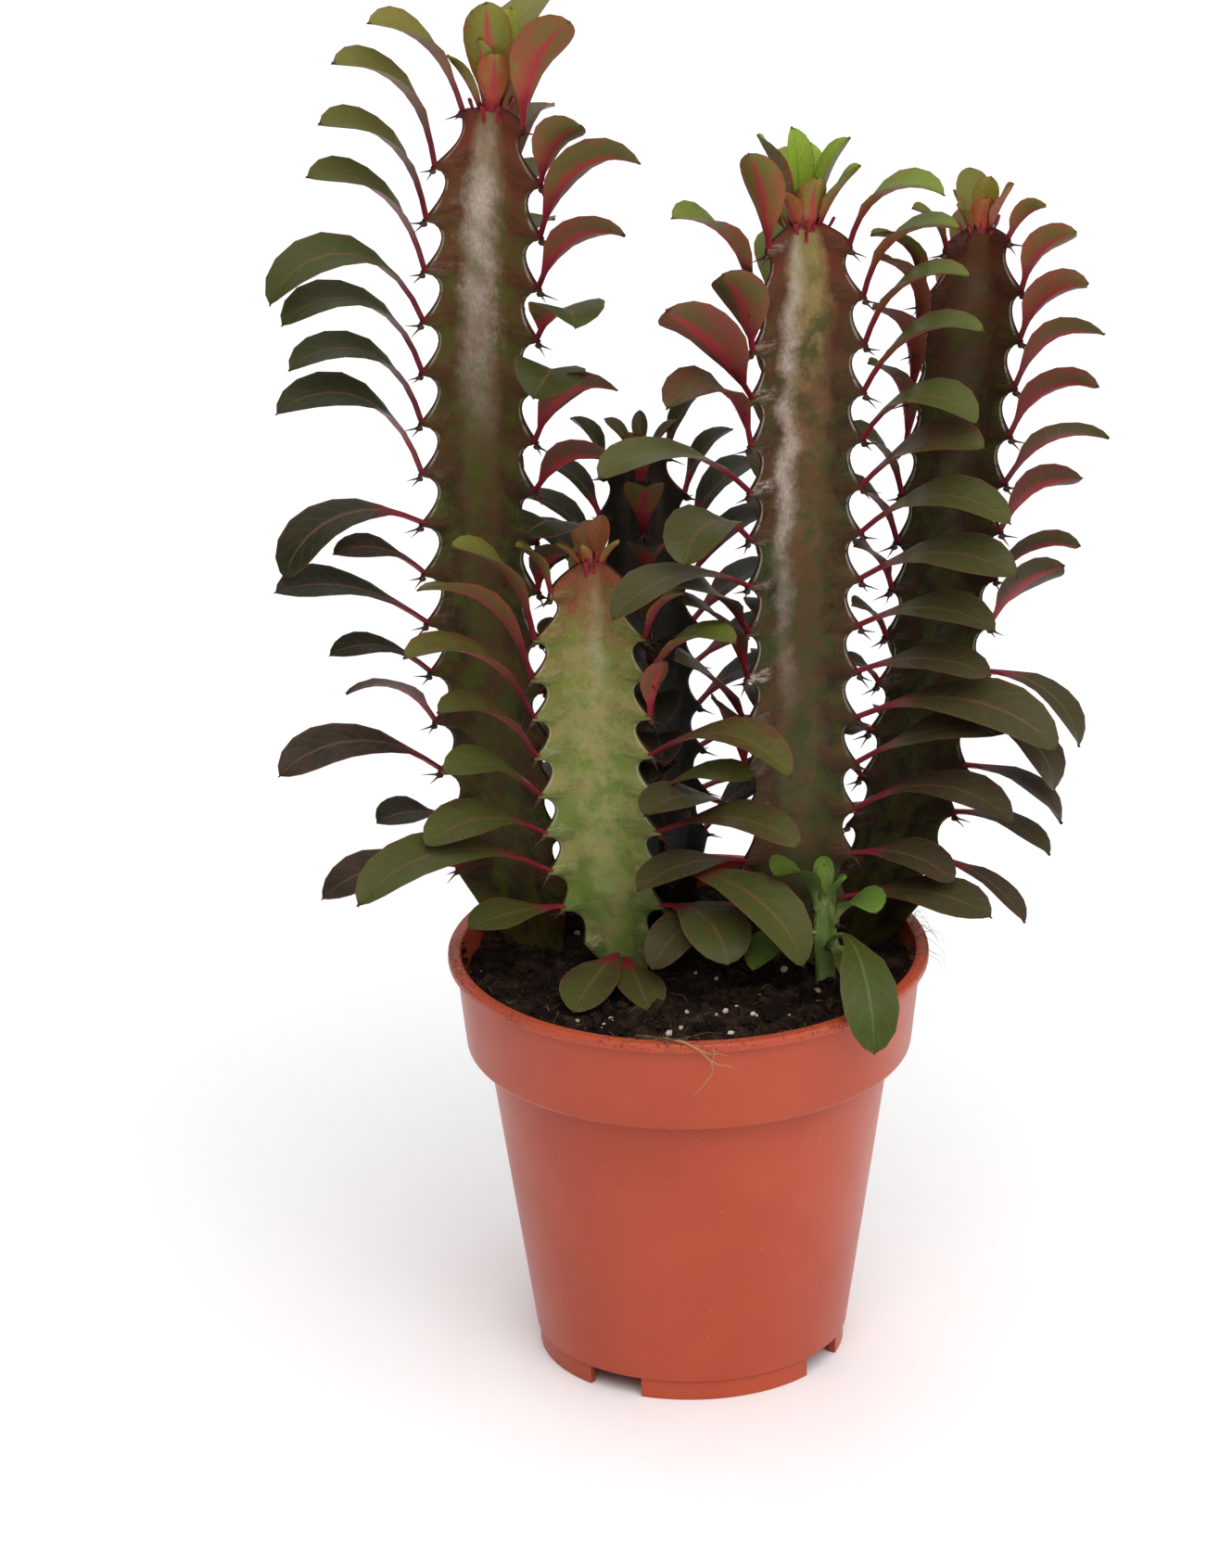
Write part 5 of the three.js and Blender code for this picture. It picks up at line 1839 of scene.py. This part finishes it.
@dataclass(frozen=True)
class BladeSkin:
    """A leaf's skin on one side: colours of the crown's, young, grown and old leaves, plain and redder."""

    name: str
    green: Colours
    red: Colours
    midrib: Colour
    petiole: Colour
    margin: Colour
    tip: Colour = srgb(60, 30, 22)
    midrib_width: float = 0.10
    midrib_reach: float = 1.05
    midrib_share: float = 0.5
    margin_share: float = 0.4
    red_share: float = 0.5
    base_share: float = 0.25
    cloud_share: float = 0.4
    roughness: float = 0.42
    gloss: float = 0.14
    grain_share: float = 0.11
    vein_share: float = 0.07
    tip_share: float = 0.7

    def material(self) -> Material:
        """Builds the finish.

        Returns:
            The material.
        """
        paint = Paint(self.name)
        blade = paint.group(blade_pattern(), width=self.midrib_width, reach=self.midrib_reach)
        age, places = paint.note("age"), (0.0, 0.07, 0.45, 1.0)
        clouds = (blade["Cloud"] - 0.5) * self.cloud_share
        flush = paint.note("tint") + clouds + blade["Edge"] * self.base_share
        # The age ramp darkens the old, low leaves: partly their own duller tone, partly painted shade for the
        # shaded lower plant.
        colour = paint.coats(
            paint.ramp(age, places, self.green),
            (flush.step(0.9 - self.red_share, 2.0 - self.red_share), paint.ramp(age, places, self.red)),
            (blade["Grain"] * self.grain_share, BLACK),
            (blade["Veins"] * self.vein_share, self.midrib),
            (blade["Midrib"] * self.midrib_share, self.midrib),
            (blade["Margin"] * self.margin_share, self.margin),
            (blade["Petiole"], self.petiole),
            (paint.note("tint").step(1.5, 2.1), self.petiole),
            (blade["Tip"] * self.tip_share, self.tip),
        )
        relief = blade["Grain"] * 0.3 - blade["Veins"] * 0.5
        return paint.finish(
            Base_Color=colour, Roughness=self.roughness, Specular_IOR_Level=self.gloss,
            Normal=paint.bump(relief, 0.3, 0.0003),
        )


@dataclass(frozen=True)
class StemLook:
    """A stem's three finishes."""

    trunk: RibSkin
    upper: BladeSkin
    under: BladeSkin


def leafy(name: str, green: Colours, share: float = 0.4) -> tuple[BladeSkin, BladeSkin]:
    """The two sides of a stem's leaves.

    Args:
        name: the stem's name.
        green: the upper side's greens, from the crown to the foot, darker low down partly as painted shade.
        share: how much of the leaves is redder.

    Returns:
        The finish of the upper side and of the under side.
    """
    upper = BladeSkin(
        "leaf_top_" + name, green, (srgb(156, 78, 50), srgb(134, 76, 48), srgb(96, 58, 40), srgb(66, 48, 38)),
        midrib=srgb(120, 84, 60), petiole=srgb(122, 36, 46), margin=srgb(116, 66, 50), midrib_width=0.11,
        red_share=share,
    )
    under = BladeSkin(
        "leaf_under_" + name, (srgb(126, 124, 54), srgb(110, 104, 50), srgb(88, 82, 46), srgb(70, 64, 44)),
        (srgb(160, 84, 50), srgb(146, 84, 54), srgb(122, 64, 54), srgb(84, 54, 46)), midrib=srgb(170, 50, 62),
        petiole=srgb(136, 38, 50), margin=srgb(112, 84, 48), midrib_width=0.36, midrib_share=0.85,
        red_share=share - 0.05, base_share=0.75, cloud_share=0.6, roughness=0.5, gloss=0.16,
    )
    return upper, under


SPINE_HORN = Matter("spine_horn", srgb(36, 20, 18), srgb(92, 50, 40), 600.0, 0.7, 0.0, 0.45)

LOOKS = {
    "stem_left_tall": StemLook(
        RibSkin(
            "skin_left",
            (srgb(42, 41, 28), srgb(66, 62, 39), srgb(74, 58, 37), srgb(110, 80, 55), srgb(120, 92, 60)),
            (srgb(30, 33, 21), srgb(40, 42, 26), srgb(42, 39, 21), srgb(72, 60, 27), srgb(110, 48, 39)),
            band=srgb(76, 42, 28), patch=srgb(74, 80, 28), blush=srgb(92, 58, 38), streak_share=0.95,
            streak_width=0.2, streak_foot=0.72, streak_centre=0.46, streak_head=0.99, blush_share=0.45,
        ),
        *leafy("left", (srgb(138, 146, 56), srgb(118, 112, 54), srgb(71, 76, 37), srgb(34, 36, 19))),
    ),
    "stem_middle_tall": StemLook(
        RibSkin(
            "skin_middle",
            (srgb(76, 82, 56), srgb(86, 80, 54), srgb(86, 66, 44), srgb(120, 88, 62), srgb(148, 130, 80)),
            (srgb(52, 62, 41), srgb(50, 54, 35), srgb(42, 34, 20), srgb(46, 36, 18), srgb(106, 50, 36)),
            band=srgb(74, 46, 32), patch=srgb(62, 72, 34), blush=srgb(98, 63, 43), streak_centre=0.28,
            streak_width=0.105, scar_share=0.85, streak_foot=0.46, streak_share=0.86,
        ),
        *leafy("middle", (srgb(136, 160, 54), srgb(112, 126, 50), srgb(84, 90, 44), srgb(70, 66, 40))),
    ),
    "stem_right_tall": StemLook(
        RibSkin(
            "skin_right",
            (srgb(22, 21, 10), srgb(22, 20, 9), srgb(24, 17, 6), srgb(46, 29, 10), srgb(80, 45, 22)),
            (srgb(20, 20, 9), srgb(20, 19, 8), srgb(24, 21, 6), srgb(38, 29, 8), srgb(74, 29, 16)),
            band=srgb(50, 22, 13), patch=srgb(52, 58, 12), blush=srgb(50, 28, 11), streak_share=0.06,
        ),
        *leafy("right", (srgb(126, 114, 46), srgb(106, 104, 44), srgb(82, 84, 40), srgb(64, 60, 38))),
    ),
    "stem_front_short": StemLook(
        RibSkin(
            "skin_front",
            (srgb(96, 128, 58), srgb(134, 146, 82), srgb(150, 146, 92), srgb(146, 138, 80),
             srgb(134, 82, 56)),
            (srgb(66, 96, 42), srgb(92, 116, 54), srgb(122, 132, 72), srgb(124, 116, 62), srgb(126, 58, 42)),
            band=srgb(84, 92, 42), patch=srgb(102, 124, 50), blush=srgb(160, 142, 94), streak_share=0.5,
            streak_foot=0.70, scar_share=0.55, streak_width=0.1, streak_centre=0.58,
            streak=srgb(188, 178, 150), band_share=0.5,
        ),
        *leafy("front", (srgb(124, 84, 46), srgb(112, 118, 50), srgb(84, 92, 42), srgb(70, 72, 34))),
    ),
    # The rear stem's skin and leaves are painted dark all over: painted shade for a stem that stands in the
    # others' shadow.
    "stem_rear_short": StemLook(
        RibSkin(
            "skin_rear_shaded",
            (srgb(26, 28, 22), srgb(30, 32, 24), srgb(36, 36, 26), srgb(44, 40, 28), srgb(56, 38, 30)),
            (srgb(24, 26, 20), srgb(28, 30, 22), srgb(32, 34, 24), srgb(36, 36, 24), srgb(52, 32, 26)),
            band=srgb(38, 34, 24), patch=srgb(32, 38, 22), blush=srgb(40, 32, 24), streak_share=0.1,
        ),
        *leafy("rear", (srgb(70, 62, 34), srgb(50, 50, 30), srgb(40, 42, 27), srgb(31, 32, 24)), 0.2),
    ),
    "shoot_basal": StemLook(
        RibSkin(
            "skin_shoot",
            (srgb(150, 160, 110), srgb(140, 156, 96), srgb(112, 142, 70), srgb(96, 132, 56),
             srgb(90, 124, 50)),
            (srgb(140, 150, 96), srgb(128, 148, 84), srgb(98, 128, 58), srgb(88, 120, 50), srgb(96, 100, 50)),
            band=srgb(124, 128, 80), patch=srgb(98, 126, 58), blush=srgb(128, 144, 84),
            streak_share=0.1, crest=srgb(100, 100, 56), margin_share=0.2,
        ),
        BladeSkin(
            "leaf_top_shoot", (srgb(96, 126, 42), srgb(88, 116, 42), srgb(70, 90, 30), srgb(62, 70, 24)),
            (srgb(98, 104, 44), srgb(96, 100, 46), srgb(80, 78, 36), srgb(74, 66, 32)), srgb(100, 116, 62),
            srgb(136, 146, 86), srgb(84, 80, 48), red_share=0.3,
        ),
        BladeSkin(
            "leaf_under_shoot", (srgb(110, 140, 66), srgb(104, 132, 66), srgb(90, 116, 60), srgb(80, 98, 56)),
            (srgb(112, 116, 66), srgb(108, 110, 64), srgb(98, 96, 58), srgb(86, 82, 52)), srgb(136, 148, 90),
            srgb(146, 154, 96), srgb(96, 98, 58), red_share=0.2,
        ),
    ),
}


@dataclass(frozen=True)
class BudRule:
    """How the small closed leaves stand round a growing point."""

    count: int = 15
    length: float = 2.0
    more_length: float = 2.6
    rise: float = 86.0
    lean: float = 6.0
    curl: float = 18.0
    width_share: float = 0.36
    stalk: float = 0.3
    tint: float = 1.7


@dataclass(frozen=True)
class SpineRule:
    """How a pair of spines stands under each leaf, smaller on a thin stem."""

    length: float = 4.3
    splay: float = 34.0
    drop: float = 12.0
    uneven: Numbers = (0.2, 9.0, 12.0)      # of the length, the splay and the drop
    below: float = 0.8
    inside: float = 0.7
    full_reach: float = 14.0


@dataclass
class Stem:
    """A leafy stem: its trunk, its leaves and its paired spines."""

    form: StemForm
    trunk: Trunk
    leaf: LeafModel
    look: StemLook
    bud: BudRule = BudRule()
    spine: SpineRule = SpineRule()
    rise_above: float = 0.7
    start_inside: float = 1.0
    below_apex: float = 1.6
    sunk: float = 3.6
    sunk_share: float = 0.42
    aside: float = 0.12
    usual_share: float = 0.46
    old_teeth: float = 9.0
    stalk: float = 0.11
    long_stalk: float = 0.42
    long_leaf: float = 50.0
    crown_below: float = 2.6
    loose_share: float = 0.3
    foot_age: float = 0.9
    near: float = 0.35
    far: float = 1.4
    close: float = 0.03

    def rib_leaf(self, rib: int, tooth: int) -> Leaf:
        """The leaf above a tooth.

        Args:
            rib: which rib.
            tooth: which tooth, from the top.

        Returns:
            The leaf.
        """
        form, plan = self.form, self.form.plan
        count = form.tooth_count(rib)
        z = form.tooth_height(rib, tooth)
        heading = form.heading(rib)
        rule, seed = plan.rule, plan.seed
        age = smooth((tooth + 0.5) / rule.young_teeth)
        low = tooth / max(1, count - 1)
        grown = rule.back_length if rib == 2 else rule.length
        more = [spread(seed, rib, tooth, salt, amount) for salt, amount in enumerate(rule.uneven, 1)]
        sizes = (
            (rule.young_length + (grown - rule.young_length) * age) * (1 + more[0]),
            rule.young_rise + (rule.rise - rule.young_rise) * age - rule.rise_droop * low * low + more[1],
            rule.young_tip + (rule.tip - rule.young_tip) * age - rule.tip_droop * low + more[2],
            more[3],
        )
        if rib < len(plan.ribs) and tooth < len(plan.ribs[rib]):
            sizes = plan.ribs[rib][tooth]
        length, rise, tip, swing = sizes[:4]
        usual = min(self.usual_share * length, 7.5 + 0.17 * length) * (1 + spread(seed, rib, tooth, 5, 0.1))
        width = sizes[4] if len(sizes) > 4 else usual
        roll = (sizes[5] if len(sizes) > 5 else plan.roll[rib]) + spread(seed, rib, tooth, 6, 9)
        crest = form.reach(z) + form.tooth(z)
        out = bearing(heading)
        start = form.axis(z + self.rise_above) + out * (crest - self.start_inside)
        level = min(z + self.rise_above, plan.apex - self.below_apex)
        deep = min(self.sunk, self.sunk_share * crest)
        root = form.axis(level) + out * (crest - deep) + bearing(heading + 90) * self.aside
        chosen = plan.rib_tints[rib] if rib < len(plan.rib_tints) else ()
        tint = chosen[tooth] if tooth < len(chosen) else draw(seed, rib, tooth, 7)
        return Leaf(
            start, root, heading, length + self.start_inside, rise, tip, swing, width, roll,
            min(1.0, (tooth + 0.6) / self.old_teeth), plan.twists[rib], tint,
        )

    def loose_leaf(self, sizes: Numbers, crown: bool, index: int) -> Leaf:
        """A leaf of the crown or of the foot.

        Args:
            sizes: its row of the plan.
            crown: whether it is of the crown.
            index: which row it is.

        Returns:
            The leaf.
        """
        form, plan = self.form, self.form.plan
        heading = sizes[0]
        if crown:
            length, rise, tip, width = sizes[1:]
            height, reach = plan.apex - self.crown_below, plan.top_reach
        else:
            height, length, rise, tip, width = sizes[1:]
            height, reach = form.base + height, plan.foot_reach
        root = form.axis(height) + bearing(heading) * reach * self.loose_share
        roll = spread(plan.seed, 9 if crown else 8, index, 6, 14)
        tint = plan.crown_tints[index] if crown and plan.crown_tints else draw(plan.seed, 9, index, 7)
        stalk = self.long_stalk if length > self.long_leaf else self.stalk
        age = 0.0 if crown else self.foot_age
        return Leaf(root, root, heading, length + 2, rise, tip, 0, width, roll, age, 0.0, tint, stalk)

    def buds(self) -> Iterator[Leaf]:
        """The small closed leaves round the growing point.

        Yields:
            The buds.
        """
        form, plan, rule = self.form, self.form.plan, self.bud
        for i in range(rule.count):
            heading = 360 * i / rule.count + spread(plan.seed, i, 5, 1, 14)
            away = plan.top_reach * (0.15 + 0.5 * draw(plan.seed, i, 5, 2))
            root = form.axis(plan.apex - 0.5 - 0.35 * away) + bearing(heading) * away
            length = rule.length + rule.more_length * draw(plan.seed, i, 5, 3)
            length *= min(1.0, plan.top_reach / 6)
            rise = rule.rise - rule.lean * away + spread(plan.seed, i, 5, 4, 8)
            tint = rule.tint + 0.6 * draw(plan.seed, i, 5, 6)
            yield Leaf(
                root, root - np.array([0, 0, 1.2]), heading, length, rise, rise + rule.curl, 0,
                rule.width_share * length, 0, 0.0, 0.0, tint, rule.stalk,
            )

    def leaves(self) -> list[Leaf]:
        """All the stem's leaves.

        Returns:
            The leaves of the crown, the foot and the ribs.
        """
        plan = self.form.plan
        found = [self.loose_leaf(sizes, True, i) for i, sizes in enumerate(plan.crown)]
        found += [self.loose_leaf(sizes, False, i) for i, sizes in enumerate(plan.base)]
        for rib in range(3):
            found += [self.rib_leaf(rib, tooth) for tooth in range(self.form.tooth_count(rib))]
        return found

    def bend_of(self, leaf: Leaf, solid: BVHTree) -> Bend | None:
        """Finds how a leaf lies in the plain solid.

        Args:
            leaf: the leaf.
            solid: the plain solid's surface.

        Returns:
            The change, or None where the solid has no such leaf.
        """
        best, best_miss = None, self.near
        for way in BENDS:
            points = self.leaf.plain_points(leaf, way)
            misses = [solid.find_nearest(Vector(p) * MM)[3] / MM for p in points[::-1][:4]]
            if max(misses) > self.far:
                continue
            misses += [solid.find_nearest(Vector(p) * MM)[3] / MM for p in points[:3]]
            miss = float(np.mean(misses))
            if miss < best_miss:
                best, best_miss = way, miss
                if miss < self.close:
                    break
        return best

    def build_leaves(self, model: Object) -> Object:
        """Places the leaves where the plain solid has them.

        Args:
            model: the leaf modelled once.

        Returns:
            The dressed leaves.
        """
        plan = self.form.plan
        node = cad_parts[plan.name]
        solid = BVHTree.FromPolygons(
            [v.co.copy() for v in node.data.vertices], [tuple(p.vertices) for p in node.data.polygons],
        )
        grid = noted(model.data, "column"), noted(model.data, "row")
        leaves = self.leaves()
        grown = [(leaf, self.bend_of(leaf, solid), plan.seed * 100 + i) for i, leaf in enumerate(leaves)]
        grown = [case for case in grown if case[1]]
        LOG.info("%s: %d of %d leaves", plan.name, len(grown), len(leaves))
        grown += [(bud, Bend(), plan.seed * 300 + i) for i, bud in enumerate(self.buds())]
        places = [self.leaf.place(leaf, bend, *grid, seed) for leaf, bend, seed in grown]
        notes = {"age": [case[0].age for case in grown], "tint": [case[0].tint for case in grown]}
        piece = copies("leaves_" + plan.name, model, places, notes)
        soften(piece, 75)
        dress(piece, self.look.upper.material(), self.look.under.material())
        return piece

    def build_spines(self, model: Object, horn: Material) -> Object:
        """Places a pair of spines under each leaf.

        Args:
            model: one spine of unit length along X, modelled once.
            horn: the spines' material.

        Returns:
            The dressed spines.
        """
        form, plan, rule = self.form, self.form.plan, self.spine
        points, places = coordinates(model.data), []
        size = rule.length * min(1.0, 0.3 + plan.reach / rule.full_reach)
        for rib in range(3):
            for tooth in range(form.tooth_count(rib)):
                z = form.tooth_height(rib, tooth)
                crest = form.reach(z) + form.tooth(z)
                base = form.axis(z - rule.below) + bearing(form.heading(rib)) * (crest - rule.inside)
                for hand in (-1, 1):
                    longer, wider, lower = (
                        spread(plan.seed, rib * 2 + hand, tooth, salt, amount)
                        for salt, amount in enumerate(rule.uneven, 21)
                    )
                    turn = form.heading(rib) + hand * (rule.splay + wider)
                    drop = math.radians(rule.drop + lower)
                    along, across = bearing(turn) * math.cos(drop), bearing(turn - 90)
                    along[2] = -math.sin(drop)
                    axes = np.array([along * size * (1 + longer), across, np.cross(across, along)])
                    places.append(base + points @ axes)
        piece = copies("spines_" + plan.name, model, places, {})
        soften(piece, 60)
        dress(piece, horn)
        return piece

    def build(self, leaf_model: Object, spine_model: Object, horn: Material) -> None:
        """Builds the whole stem.

        Args:
            leaf_model: the leaf modelled once.
            spine_model: the spine modelled once.
            horn: the spines' material.
        """
        plan = self.form.plan
        trunk = self.trunk.model()
        dress(trunk, self.look.trunk.material(plan.seed))
        for piece in (trunk, self.build_leaves(leaf_model), self.build_spines(spine_model, horn)):
            seat(piece, plan.finish, plan.name)


@dataclass
class SpineModel:
    """One spine of unit length along X, modelled once: a horn that bends down, on a wider pad."""

    root: float = 0.6
    point: float = 0.07
    cuts: Numbers = (0.12, 0.3, 0.6)
    pad: float = 1.5
    neck: float = 1.3
    shaft: float = 0.62
    sag: float = 0.25

    def build(self) -> Object:
        """Models the spine.

        Returns:
            The spine, which is only copied.
        """
        spine = added(
            bpy.ops.mesh.primitive_cone_add, vertices=6, radius1=self.root, radius2=self.point,
            depth=1.0, location=(0.5, 0, 0), rotation=(0, math.pi / 2, 0), end_fill_type="TRIFAN",
        )
        settle(spine)
        slice_at(*(((cut, 0, 0), (1, 0, 0)) for cut in self.cuts))
        points = coordinates(spine.data)
        x = points[:, 0]
        width = np.where(x < 0.05, self.pad, np.where(x < 0.2, self.neck, self.shaft))
        points[:, 1:] *= width[:, None]
        points[:, 2] -= self.sag * np.clip(x, 0, 1) ** 2
        move_to(spine.data, points, 1.0)
        return spine


# Stage


@dataclass
class Studio:
    """The pale floor, the soft lights and the camera at the photograph's angle."""

    floor_size: float = 6.0
    surround: float = 0.16
    sight: float = 20.0
    elevation: float = 22.5
    distance: float = 2000.0
    focal_pixels: float = 8724.0
    frame_pixels: float = 1691.0
    sensor: float = 36.0
    target: Point = (-17.5, 151.1)
    roll: float = -0.75

    def build(self) -> None:
        """Lays the floor, and adds the camera and the lights."""
        floor = added(bpy.ops.mesh.primitive_plane_add, size=self.floor_size, location=(0, 0, 0))
        floor.name = "floor"
        dress(floor, Paint("pale_floor").finish(Base_Color=(0.95, 0.95, 0.95), Roughness=0.7))
        floor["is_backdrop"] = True
        self.camera()
        self.lights()

    def camera(self) -> None:
        """Places the camera."""
        slope, tilt = math.radians(self.elevation), math.radians(self.roll)
        back = Vector((0, -math.cos(slope), math.sin(slope)))
        right = Vector((1, 0, 0))
        up = back.cross(right)
        aim = Vector((self.target[0], 0, self.target[1]))
        across = right * math.cos(tilt) + up * math.sin(tilt)
        above = up * math.cos(tilt) - right * math.sin(tilt)
        place = (aim + back * self.distance) * MM
        camera = added(bpy.ops.object.camera_add, location=place)
        turn = Matrix((across, above, back)).transposed().to_4x4()
        camera.matrix_world = Matrix.Translation(place) @ turn
        camera.data.sensor_width = self.sensor
        camera.data.lens = self.focal_pixels * self.sensor / self.frame_pixels
        camera.data.clip_end = self.sight
        bpy.context.scene.camera = camera

    def lights(self) -> None:
        """Hangs the soft lights and sets the pale surroundings."""
        for name, place, width, power in (
            ("above", (0.1, -0.15, 1.0), 95, 2.15), ("key", (0.14, -1.0, 1.05), 45, 1.15),
            ("fill", (1.0, -0.6, 0.45), 55, 0.75), ("behind", (-0.3, 1.0, 0.6), 50, 0.4),
        ):
            light = added(bpy.ops.object.light_add, type="SUN", location=place)
            light.name = name
            light.data.angle, light.data.energy = math.radians(width), power
            light.rotation_euler = (-Vector(place)).to_track_quat("-Z", "Y").to_euler()
        world = bpy.data.worlds.new("white_room")
        world.use_nodes = True
        sky = world.node_tree.nodes["Background"]
        sky.inputs["Color"].default_value = (1, 1, 1, 1)
        sky.inputs["Strength"].default_value = self.surround
        bpy.context.scene.world = world
        bpy.context.scene.view_settings.view_transform = "Standard"


def main() -> None:
    """Builds the part and its stage, and measures its size."""
    logging.basicConfig(level=logging.INFO, format="%(message)s")
    pot = Pot()
    pot.build()
    Soil(pot, [plan.foot for plan in PLANS if plan.name != "shoot_basal"]).build()
    leaf = LeafModel()
    models = leaf.build(), SpineModel().build()
    horn = SPINE_HORN.material()
    for plan in PLANS:
        form = StemForm(plan)
        Stem(form, Trunk(form), leaf, LOOKS[plan.name]).build(*models, horn)
    for model in models:
        discard(model)
    Studio().build()
    boxes = {"cad": CAD_BOX, "visual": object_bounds()}
    {name: [list(map(float, corner)) for corner in box] for name, box in boxes.items()}


if __name__ == "__main__":
    main()
